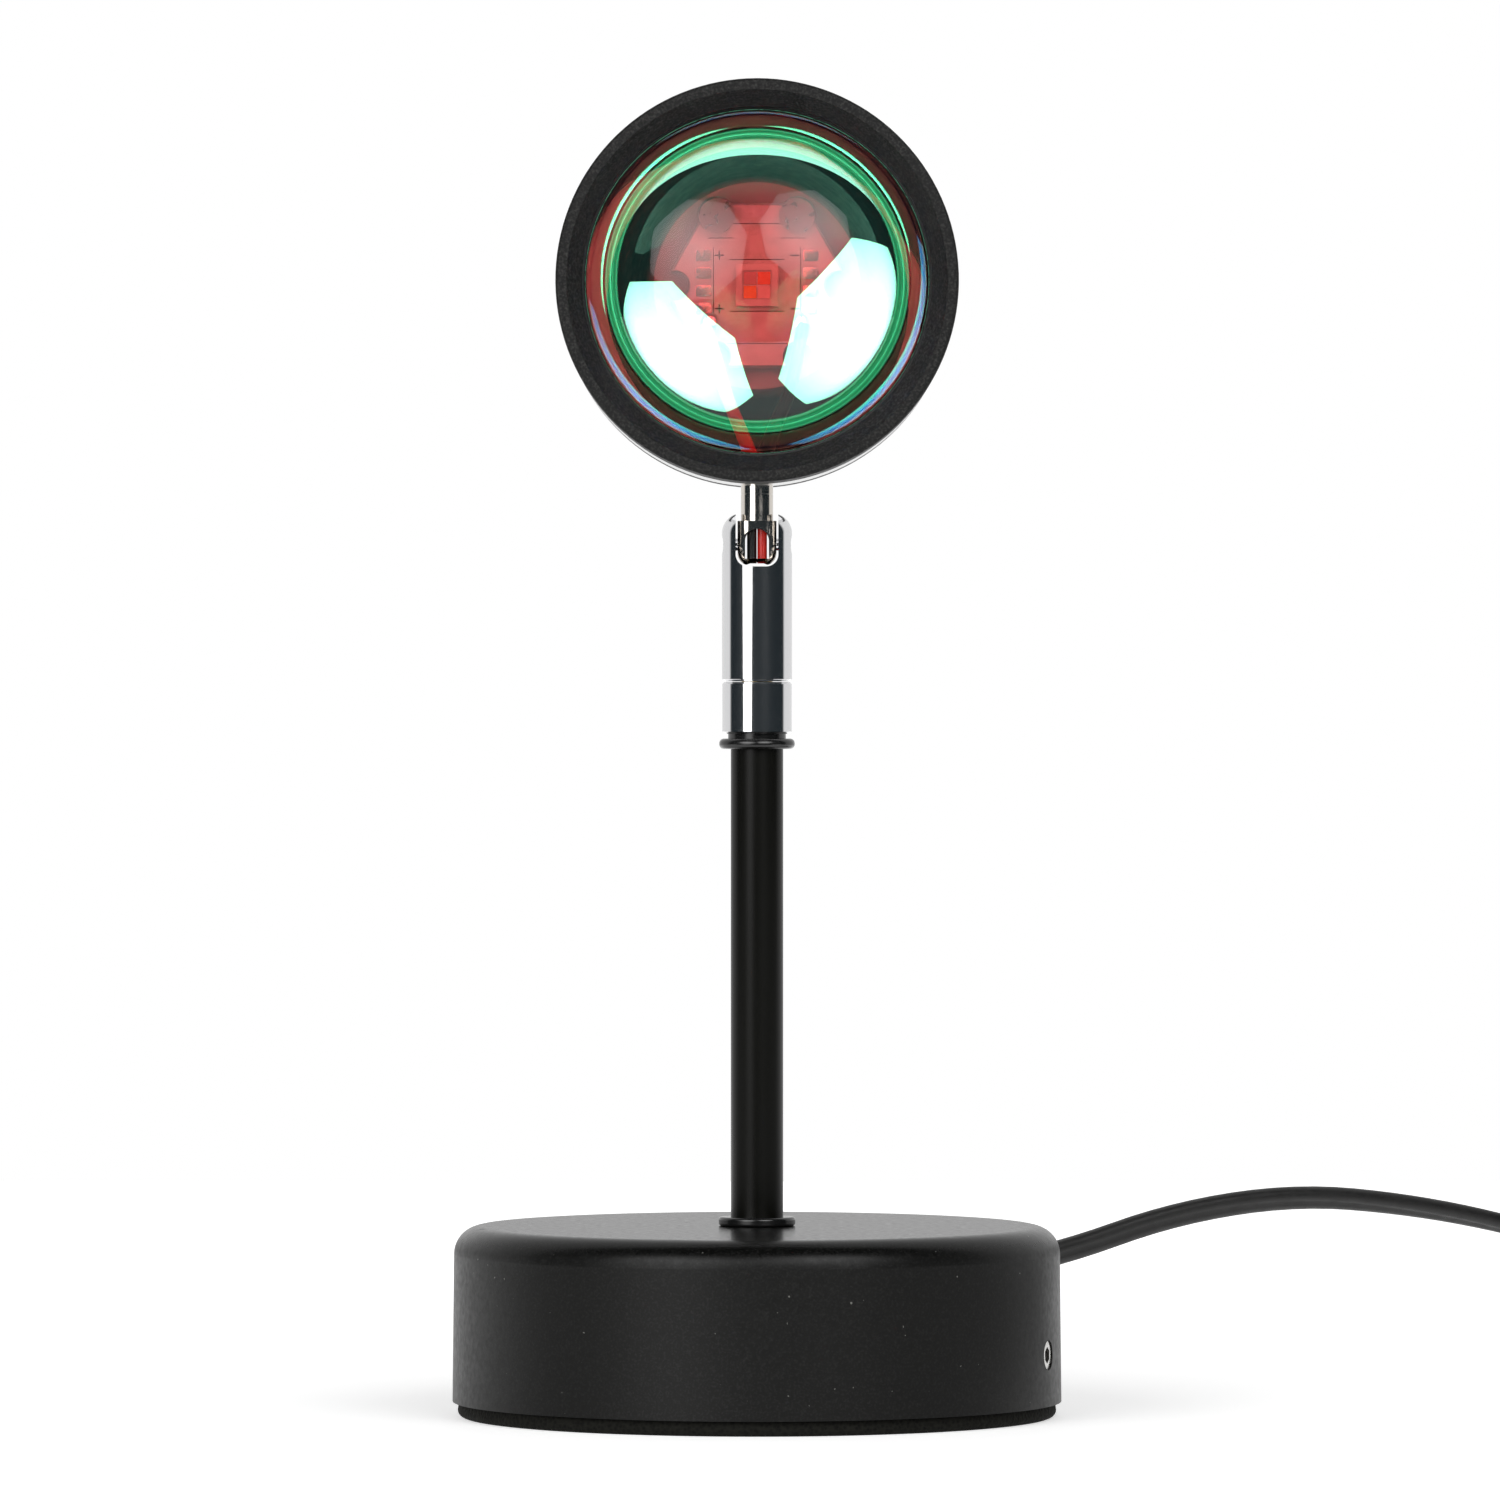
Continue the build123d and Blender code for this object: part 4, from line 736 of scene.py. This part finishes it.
def coil_route(settings):
    """The coil's turns: r steps in and out by a pitch a turn, and z climbs a layer where the spiral reverses."""
    cycle = COIL_LAYER_TURNS + COIL_CLIMB_TURNS
    turns = COIL_LAYERS * cycle - COIL_CLIMB_TURNS
    turn = np.linspace(0, turns, round(turns * settings.points_per_turn) + 1)
    layer = np.minimum(np.floor(turn / cycle), COIL_LAYERS - 1)
    within = turn - layer * cycle
    inwards = layer % 2 == 0
    past = np.maximum(within - COIL_LAYER_TURNS, 0)
    steps = np.minimum(within, COIL_LAYER_TURNS) + past - past**2 / COIL_CLIMB_TURNS
    inner = settings.coil_radius - settings.coil_pitch * COIL_LAYER_TURNS
    radius = np.where(inwards, settings.coil_radius - settings.coil_pitch * steps, inner + settings.coil_pitch * steps)
    height = COIL_FLOOR + settings.coil_pitch * (layer + eased(past / COIL_CLIMB_TURNS))
    angle = -2 * math.pi * turn
    return np.stack([COIL_CENTRE[0] + radius * np.cos(angle), COIL_CENTRE[1] + radius * np.sin(angle), height], -1)


def lead_lean(run):
    """How far the cord leans along its run: it leaves the gland on edge and turns flat by a smooth step."""
    return EDGE_LEAN * (1 - eased(np.clip((run - EDGE_RUN) / TURNING_RUN, 0, 1)))


def smooth_line(name, route, resolution):
    """Points along the route's NURBS spline, in order."""
    data = bpy.data.curves.new(name, "CURVE")
    data.dimensions = "3D"
    spline = data.splines.new("NURBS")
    spline.points.add(len(route) - 1)
    spline.points.foreach_set("co", np.concatenate([route, np.ones((len(route), 1))], 1).ravel())
    spline.order_u = 3
    spline.use_endpoint_u = True
    spline.resolution_u = resolution
    holder = bpy.data.objects.new(name, data)
    bpy.context.scene.collection.objects.link(holder)
    bpy.context.view_layer.update()
    mesh = bpy.data.meshes.new_from_object(holder)
    points = mesh_points(mesh)
    bpy.data.objects.remove(holder)
    bpy.data.curves.remove(data)
    bpy.data.meshes.remove(mesh)
    return points[np.concatenate([[True], np.diff(run_along(points)) > MICRON])]


def flat_tube(line, run, half_width, half_thickness, lean, sides=36):
    """A twin-core section carried along a line: point = line + a c side' + b s g up', where side' and up' are the
    level normal and its upright partner turned by lean, c and s are cos t and sin t to the power 0.8, and
    g = 1 - 0.2 exp(-(c / 0.2)^2) draws the middle of both broad sides in. A centre vertex closes each end."""
    squareness, groove_depth, groove_width = 0.8, 0.2, 0.2
    way = np.gradient(line, axis=0)
    way /= np.linalg.norm(way, axis=1, keepdims=True)
    side = np.cross(way, [0, 0, 1.0])
    side /= np.linalg.norm(side, axis=1, keepdims=True)
    up = np.cross(side, way)
    across = np.cos(lean)[:, None] * side + np.sin(lean)[:, None] * up
    over = -np.sin(lean)[:, None] * side + np.cos(lean)[:, None] * up
    t = full_turn(sides)
    c, s = powered(np.cos(t), squareness)[:, None], powered(np.sin(t), squareness)[:, None]
    s = s * (1 - groove_depth * np.exp(-((c / groove_width) ** 2)))
    rings = line[:, None] + half_width * c * across[:, None] + half_thickness * s * over[:, None]
    points = np.concatenate([rings.reshape(-1, 3), line[[0, -1]]])
    count = len(line) * sides
    faces = grid_faces(len(line), sides)[:, ::-1].tolist()
    faces += fan(count, 0, sides).tolist() + fan(count + 1, count - sides, sides, flip=True).tolist()
    uv = np.stack(np.broadcast_arrays(run[:, None], t / (2 * math.pi)), -1).reshape(-1, 2)
    return points, faces, np.concatenate([uv, [[0, 0], [run[-1], 0]]])


class LAMP_OT_cord(LampOperator):
    """Lay the flat cord from the gland through its coil to the switch, and on to the plug"""

    bl_idname = "lamp.cord"
    bl_label = "Cord"

    def execute(self, context):
        s = self.settings.cord
        sheath = cord_sheath(s.sheath)
        strap = [piece for piece in bpy.data.objects if piece.name == "coil_strap"]
        route = np.concatenate([LEAD_ROUTE, coil_route(s), TAIL_ROUTE])
        self.lay("power_cord", smooth_line("cord_line", route, 6), lead_lean, sheath, EXIT, "fitting", "coiled",
                 ("cord_lead", "cord_coil", "cord_tail"), strap,
                 ("cord_gland", "switch_bottom", "switch_top", "switch_block", "switch_button", "switch_screws"))
        self.lay("plug_cord", smooth_line("plug_line", END_ROUTE, 10), np.zeros_like, sheath, END_ROUTE[0], "plug",
                 "loose", ("cord_end",), [], ("plug_grip", "plug_shell", "plug_insert", "plug_contacts"))
        return {"FINISHED"}

    def lay(self, name, line, lean, sheath, leaves, far_end, lay, solids, added, nodes):
        s = self.settings.cord
        run = run_along(line)
        points, faces, uv = flat_tube(line, run, s.width / 2, s.thickness / 2, lean(run))
        cord = mesh_piece(name, points, faces, "stand", "cord_black", [sheath], uv=uv)
        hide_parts(*solids)


class LAMP_OT_strap(LampOperator):
    """Wrap the strap round the coil"""

    bl_idname = "lamp.strap"
    bl_label = "Strap"

    def execute(self, context):
        """A lipped strip carried round a box with round corners: with c = cos t and s = sin t, a point of the loop is
        (a sign(c) + r c, b sign(s) + r s), and the strip's thickness goes inwards along (c, s)."""
        corner, thickness, lip = 1.9 * MM, 0.9 * MM, 0.25 * MM
        low, high = corners("cord_tie")
        half = (high - low) / 2
        t = full_turn(96)
        normal = np.stack([np.cos(t), np.sin(t)], -1)
        loop = np.sign(normal) * (half[1:] - corner) + corner * normal
        section = np.array([
            [-half[0] + lip, 0.0], [half[0] - lip, 0.0], [half[0], -lip], [half[0], -thickness + lip],
            [half[0] - lip, -thickness], [-half[0] + lip, -thickness], [-half[0], -thickness + lip], [-half[0], -lip],
        ])
        yz = loop[:, None] + normal[:, None] * section[None, :, 1:]
        x = np.broadcast_to(section[None, :, :1], (len(t), len(section), 1))
        points = np.concatenate([x, yz], -1).reshape(-1, 3) + (low + high) / 2
        faces = grid_faces(len(t), len(section), wrap_rows=True).tolist()
        girth = section[:, 0] - section[:, 1]
        uv = np.stack(np.broadcast_arrays(run_along(loop)[:, None], girth), -1).reshape(-1, 2)
        strap = mesh_piece("coil_strap", points, faces, "stand", "tie_black", [strap_weave()], smooth=False, uv=uv)
        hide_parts("cord_tie")
        return {"FINISHED"}


class LAMP_OT_foam(LampOperator):
    """Cut the foam pad under the base"""

    bl_idname = "lamp.foam"
    bl_label = "Foam pad"

    def execute(self, context):
        """A turned disc with a round lower edge. Its rim is drawn in by 0.16 mm times 1 less the sum of
        sin(kt + k^2) / k."""
        edge, draft, shoulder = 1.1 * MM, 0.2 * MM, 1.2 * MM
        ragged, margin = 0.16 * MM, 2 * MM
        low, high = corners("foam_pad")
        radius, top = (high[0] - low[0]) / 2, high[2]
        inside = np.array([0, 0.3, 0.7]) * radius
        profile = outline(
            [(FLOOR, r) for r in inside], (FLOOR, radius - 2 * edge),
            arc((FLOOR + edge, radius - edge), edge, 180, 90, 7),
            between((FLOOR + edge, radius), (top, radius - draft), 5),
            (top, radius - shoulder), [(top, r) for r in inside[::-1]],
        )
        points, faces = turned(profile, 360, lambda p: p[:, [1, 2, 0]])
        angle = np.arctan2(points[:, 1], points[:, 0])
        reach = np.hypot(points[:, 0], points[:, 1])
        wave = sum(np.sin(k * angle + k * k) / k for k in (3, 7, 13, 29, 53))
        draw = np.where(reach > radius - margin, ragged * (wave - 1.0), 0)
        points[:, :2] *= (1 + draw / np.maximum(reach, MICRON))[:, None]
        pad = mesh_piece("foam_disc", points, faces, "stand", "foam", [foam_cells()])
        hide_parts("foam_pad")
        return {"FINISHED"}


class LAMP_OT_lens(LampOperator):
    """Turn the domed lens and lay the colour film on its back"""

    bl_idname = "lamp.lens"
    bl_label = "Lens"

    def execute(self, context):
        """A ball's cap of radius (d^2 + h^2) / 2h, for the dome's base d and height h, on a flange with round edges."""
        s = self.settings.lens
        rim, segments = 0.5 * MM, 192
        front = LENS_BACK - s.flange
        height = front - LENS_APEX
        ball = (s.dome_radius**2 + height**2) / (2 * height)
        touch = 180 - math.degrees(math.asin(s.dome_radius / ball))
        seat = LENS_RIM - s.ground_seat
        profile = outline(
            arc((LENS_APEX + ball, 0), ball, 180, touch, 90),
            between((front, s.dome_radius), (front, LENS_RIM - rim), 6),
            arc((front + rim, LENS_RIM - rim), rim, 180, 90, 6)[1:],
            between((front + rim, LENS_RIM), (LENS_BACK - rim, LENS_RIM), 2),
            arc((LENS_BACK - rim, LENS_RIM - rim), rim, 90, 0, 6)[1:],
            between((LENS_BACK, LENS_RIM - rim), (LENS_BACK, seat), 3),
            between((LENS_BACK, seat), (LENS_BACK, 0), 10),
        )
        points, faces = turned(profile, segments, on_head)
        steps = np.stack([profile[:-1], profile[1:]])
        (nearest, inner), farthest = steps.min(0).T, steps.max(0)[:, 0]
        flange = inner > np.where(nearest > LENS_BACK - MICRON, seat, s.dome_radius) - MICRON
        held = flange & (farthest < front + MICRON)
        # The flange's front face, under the bezel's lip, is near-black plastic in place of clear glass: painted shade.
        finishes = [lens_glass(s), painted_glow_edge(front), moulded_plastic("painted_shade_flange", (0.012, 0.014, 0.013))]
        lens = mesh_piece("lens_dome", points, faces, "head", "lens_clear", finishes,
                          face_slots=band_slots(np.where(held, 2, flange), segments))
        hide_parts("lens")
        self.film(s)
        return {"FINISHED"}

    def film(self, s):
        """A turned disc, coated in front, with a little air between it and the lens."""
        air, segments = 0.03 * MM, 96
        low, high = corners("colour_film")
        radius = (high[0] - low[0]) / 2
        start, end = low[1] + air, high[1]
        profile = outline(
            (start, 0), between((start, 0), (start, radius), 8), (end, radius), between((end, radius), (end, 0), 8),
        )
        points, faces = turned(profile, segments, on_head)
        plain = np.maximum(profile[:-1, 0], profile[1:, 0]) > start + MICRON
        film = mesh_piece("film_disc", points, faces, "head", "film_coat", [film_coating(s), clear_back()],
                          smooth=False, face_slots=band_slots(plain, segments))
        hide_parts("colour_film")


class LAMP_OT_board(LampOperator):
    """Put pads, solder, plain polarity marks and heat paste on and under the light board"""

    bl_idname = "lamp.board"
    bl_label = "Board details"

    FLAT_TOP = ((1.0, 0.0), (1.0, 0.75), (0.93, 1.0))  # shares of outline and height

    def execute(self, context):
        tin = plain_metal("bright_tin", (0.78, 0.78, 0.76), 0.22)
        self.pads(tin)
        self.solder(tin)
        self.marks()
        self.paste()
        return {"FINISHED"}

    def pads(self, tin):
        """A row of four pads on each side of the emitter."""
        pads = np.array([(x, z) for x in (-6.35, 6.35) for z in (3.55, 1.45, -0.65, -2.75)]) * MM
        sizes = np.tile([0.95, 0.72, 0.05], (len(pads), 1)) * MM
        mesh_piece("board_pads", *stamped(pads, sizes, self.FLAT_TOP, 0.35), "head", "post_dull", [tin])

    def solder(self, tin):
        """Uneven mounds of solder at the ends of the two wires: domes pushed out by a product of three sines."""
        depth, foot = 0.12 * MM, 0.2 * MM
        rise = np.linspace(0, 1, 9)
        dome = np.stack([np.sqrt(1 - rise**2 * 0.985) ** 0.9, rise], -1)
        ends = np.array([middle_of_end(wire) for wire in ("head_wire_red", "head_wire_black")]) - HEAD_AXIS
        sizes = np.array([[1.35, 1.5, 1.75], [1.25, 1.6, 1.7]]) * MM
        points, faces = stamped(ends[:, [0, 2]], sizes, dome, 0.9, 40)
        swell = np.prod(np.sin(points * [2600, 1800, 2100] + [0, 0, 1.0]), 1)
        points[:, 1] -= depth * swell * (points[:, 1] < BOARD_FRONT - foot)
        mesh_piece("solder_mounds", points, faces, "head", "post_dull", [tin])

    def paste(self):
        """Heat paste squeezed out round the post's foot, most of it at the lower left: a quarter ellipse, with a corner
        sunk into post and plate, carried round the head's axis and swelling by
        0.7 + 0.45 cos(t - 225 degrees) + 0.12 sin(5t + 1) + 0.07 sin(11t)."""
        tall, wide = 0.65 * MM, 1.3 * MM
        into_plate, into_post = -0.06, -0.05
        plate = corners("heat_sink")[0][1]
        low, high = corners("sink_post")
        slope = np.linspace(0, math.pi / 2, 9)
        quarter = np.stack([np.cos(slope), np.sin(slope)], -1)
        section = outline((1, into_post), quarter, (into_plate, 1), (into_plate, into_post))
        turn = full_turn(160)
        swell = 0.7 + 0.45 * np.cos(turn - math.radians(225)) + 0.12 * np.sin(5 * turn + 1) + 0.07 * np.sin(11 * turn)
        axial = plate - tall * section[:, :1] * swell
        radius = (high[0] - low[0]) / 2 + wide * section[:, 1:] * swell
        points = on_head(np.stack([axial, radius * np.cos(turn), radius * np.sin(turn)], -1).reshape(-1, 3))
        faces = grid_faces(len(section), len(turn), wrap_rows=True).tolist()
        white = moulded_plastic("heat_paste", (0.80, 0.80, 0.79), 0.7)
        mesh_piece("paste_bead", points, faces, "head", "liner_white", [white])

    def marks(self):
        """Plus and minus bars by the pads, and thin lines round the emitter and along the edges of the copper."""
        bar, thin, hair, high = 0.55, 0.09, 0.05, 0.02
        plus = [(-4.45, 3.55), (-4.45, -2.75)]
        minus = [(4.45, 3.55), (4.45, -2.75)]
        lines = [(place, (bar, thin, high)) for place in plus + minus]
        lines += [(place, (thin, bar, high)) for place in plus]
        lines += [((0, z), (3.3, 0.06, high)) for z in (3.05, -3.05)]
        lines += [((x, 0.4), (hair, 4.2, high)) for x in (-5.15, 5.15)]
        lines += [((x, 5.6), (1.6, hair, high)) for x in (-4.3, 4.3)]
        lines += [((0, 7.3), (3.0, hair, high)), ((0, -6.9), (3.6, hair, high))]
        centres, halves = (np.array(column) * MM for column in zip(*lines))
        ink = moulded_plastic("marking_ink", (0.02, 0.02, 0.02), 0.6)
        mesh_piece("board_marks", *stamped(centres, halves, self.FLAT_TOP, 0.3, 16), "head", "bezel_black", [ink])


class LAMP_OT_finishes(LampOperator):
    """Give every node of the frame that shows as it is its finish"""

    bl_idname = "lamp.finishes"
    bl_label = "Finishes"

    def execute(self, context):
        finishes = {
            powder_black(): ["base_shell"],
            plain_metal("zinc_steel", (0.55, 0.56, 0.58), 0.3): [
                "bottom_plate", "lock_washer", "pole_nut", "neck_nut", "stop_pin", "wave_washer", "board_screws",
                "switch_screws",
            ],
            cast_metal(): ["counterweight"],
            plain_metal("screw_steel", (0.62, 0.61, 0.59), 0.2): ["side_screws"],
            satin_black(): ["pole"],
            gloss_black("gloss_black", 0.16): ["pole_washer", "collar_spacer", "o_ring"],
            soft_rubber(): ["lens_gasket", "cord_gland"],
            mirror_chrome("mirror_chrome", (0.80, 0.80, 0.81)): ["lower_collar", "knuckle_body", "pivot_screws"],
            mirror_chrome("neck_nickel", (0.76, 0.71, 0.64), 0.09): ["tongue", "neck_spacer"],
            mirror_chrome("head_chrome", (0.82, 0.82, 0.83)): ["head_body"],
            plain_metal("turned_brass", (0.70, 0.52, 0.25), 0.28): ["swivel_stem", "swivel_nut"],
            grained_black(): ["front_bezel", "rear_cap"],
            moulded_plastic("liner_white", (0.80, 0.80, 0.79), 0.6): ["light_tube"],
            black_anodised(): ["heat_sink"],
            faced_post(): ["sink_post"],
            board_mask(): ["led_board"],
            moulded_plastic("emitter_frame", (0.75, 0.74, 0.70), 0.4): ["led_emitter"],
            chip_glow(): ["led_chips"],
            wire_sheath("red_sheath", (0.72, 0.018, 0.012)): ["stand_wire_red", "knuckle_wire_red", "head_wire_red"],
            wire_sheath("black_sheath", (0.010, 0.010, 0.010)): [
                "stand_wire_black", "knuckle_wire_black", "head_wire_black",
            ],
            moulded_plastic("switch_shell", (0.020, 0.020, 0.020)): ["switch_bottom", "switch_top", "switch_block"],
            gloss_black("button_black", 0.3): ["switch_button"],
            moulded_plastic("plug_moulding", (0.016, 0.016, 0.016)): ["plug_grip"],
            plain_metal("bright_nickel", (0.66, 0.65, 0.62), 0.18): ["plug_shell"],
            moulded_plastic("insert_white", (0.70, 0.70, 0.68), 0.45): ["plug_insert"],
            plain_metal("gold_flash", (0.83, 0.62, 0.24), 0.2): ["plug_contacts"],
        }
        for material, nodes in finishes.items():
            for node in nodes:
                mesh = NODES[node].data
                mesh.materials.clear()
                mesh.materials.append(material)
        return {"FINISHED"}


# The soft boxes as the lens sees them: name, azimuth, elevation and half of the angle across, in degrees
SOFT_BOXES = (("box_left", -33, 17, 27), ("box_right", 28, 25, 24.5))


class LAMP_OT_stage(LampOperator):
    """Lay the pale floor, hang the two soft boxes and light the room"""

    bl_idname = "lamp.stage"
    bl_label = "Stage"

    def execute(self, context):
        s = self.settings.light
        self.room(context.scene, s)
        self.floor(s)
        lens = HEAD_AXIS + [0, LENS_APEX, 0]
        for name, *angles in SOFT_BOXES:
            self.soft_box(name, lens, s, *np.radians(angles))
        context.scene.view_settings.view_transform = "Standard"
        return {"FINISHED"}

    def flat(self, name, points, material):
        """A flat face of the stage."""
        mesh = bpy.data.meshes.new(name)
        mesh.from_pydata(points, [], [list(range(len(points)))])
        mesh.materials.append(material)
        face = bpy.data.objects.new(name, mesh)
        bpy.context.scene.collection.objects.link(face)
        return face

    def soft_box(self, name, lens, s, azimuth, elevation, spread):
        """An octagon that faces the lens: corner k at (k + 1/2)/8 of a turn on a circle of distance x tan(spread)."""
        level = math.cos(elevation)
        way = np.array([math.sin(azimuth) * level, -math.cos(azimuth) * level, math.sin(elevation)])
        side = np.cross(way, [0, 0, 1.0])
        side /= np.linalg.norm(side)
        up = np.cross(side, way)
        turn = (np.arange(8)[:, None] + 0.5) * math.pi / 4
        centre = lens + s.box_distance * way
        reach = s.box_distance * math.tan(spread)
        points = centre + reach * (np.cos(turn) * side + np.sin(turn) * up)
        box = self.flat(name, points.tolist(), self.glow(s.radiance, centre, reach))
        box.visible_camera = False
        box.visible_shadow = False

    def glow(self, strength, centre, reach):
        """Cloth whose brightness falls evenly from twice its strength in the middle to half of it at the corners."""
        f = Finish("soft_box_cloth")
        fall = f.add("ShaderNodeMapRange", Value=f.distance(centre), From_Max=reach, To_Min=2 * strength,
                     To_Max=0.5 * strength)
        f.swap(f.add("ShaderNodeEmission", Strength=fall.outputs["Result"]).outputs["Emission"])
        return f.material

    def room(self, scene, s):
        """White behind and beside the lamp, dark in front of it; the camera itself sees only white."""
        world = bpy.data.worlds.new("studio")
        scene.world = world
        world.use_nodes = True
        f = Nodes(world.node_tree)
        dark_until, white_from = 0.08, 0.24
        sides = f.ramp(f.split(f.coordinates["Generated"])["Y"], s.dark_room, s.white, dark_until, white_from)
        rays = f.add("ShaderNodeLightPath").outputs
        shine = f.math("MAXIMUM", rays["Is Glossy Ray"], rays["Is Transmission Ray"])
        seen = f.mixed(shine, (s.fill, s.fill, s.fill), sides)
        shown = f.mixed(rays["Is Camera Ray"], seen, (1.0, 1.0, 1.0))
        f.link(shown, f.tree.nodes["Background"].inputs["Color"])

    def floor(self, s):
        """A pale table, lifted towards white away from the lamp where the camera or bright metal sees it. In front of
        its edge, bright metal sees the dark room instead."""
        half, edge = 0.8, -0.33
        shade_until, white_from = 0.07, 0.38
        f = Finish("table_white", (0.80, 0.80, 0.80), 0.7, specular=0.2)
        rays = f.add("ShaderNodeLightPath").outputs
        shine = f.math("MAXIMUM", rays["Is Glossy Ray"], rays["Is Transmission Ray"])
        near = f.math("GREATER_THAN", f.split(f.coordinates["Object"])["Y"], edge)
        shown = f.math("MAXIMUM", rays["Is Camera Ray"], f.math("MULTIPLY", shine, near))
        lift = f.ramp(f.distance(), 0.5, 0.95, shade_until, white_from)
        f.set("Emission Strength", f.math("MULTIPLY", shown, lift))
        f.set("Emission Color", (1.0, 1.0, 1.0))
        room = f.add("ShaderNodeEmission", Color=s.dark_room)
        f.mix_in(f.math("MULTIPLY", shine, f.math("SUBTRACT", 1.0, near)), room.outputs["Emission"])
        self.flat("table", [(-half, -half, FLOOR), (half, -half, FLOOR), (half, half, FLOOR), (-half, half, FLOOR)],
                  f.material)


class LAMP_PT_panel(bpy.types.Panel):
    """Lists the lamp's operators in the sidebar"""

    bl_label = "Lamp"
    bl_idname = "LAMP_PT_panel"
    bl_space_type = "VIEW_3D"
    bl_region_type = "UI"
    bl_category = "Lamp"

    def draw(self, context):
        for operator in OPERATORS:
            self.layout.operator(operator.bl_idname)


SETTINGS = (CameraSettings, LightSettings, LensSettings, CordSettings, LampSettings)
OPERATORS = (
    LAMP_OT_camera, LAMP_OT_strap, LAMP_OT_cord, LAMP_OT_foam, LAMP_OT_lens, LAMP_OT_board, LAMP_OT_finishes,
    LAMP_OT_stage,
)
CLASSES = (*SETTINGS, *OPERATORS, LAMP_PT_panel)


def register():
    for c in CLASSES:
        bpy.utils.register_class(c)
    bpy.types.Scene.lamp_settings = PointerProperty(type=LampSettings)


def unregister():
    del bpy.types.Scene.lamp_settings
    for c in reversed(CLASSES):
        bpy.utils.unregister_class(c)


def main():
    register()
    bpy.ops.lamp.camera()
    bpy.ops.lamp.strap()
    bpy.ops.lamp.cord()
    bpy.ops.lamp.foam()
    bpy.ops.lamp.lens()
    bpy.ops.lamp.board()
    bpy.ops.lamp.finishes()
    bpy.ops.lamp.stage()
    bpy.context.view_layer.update()


if __name__ == "__main__":
    main()
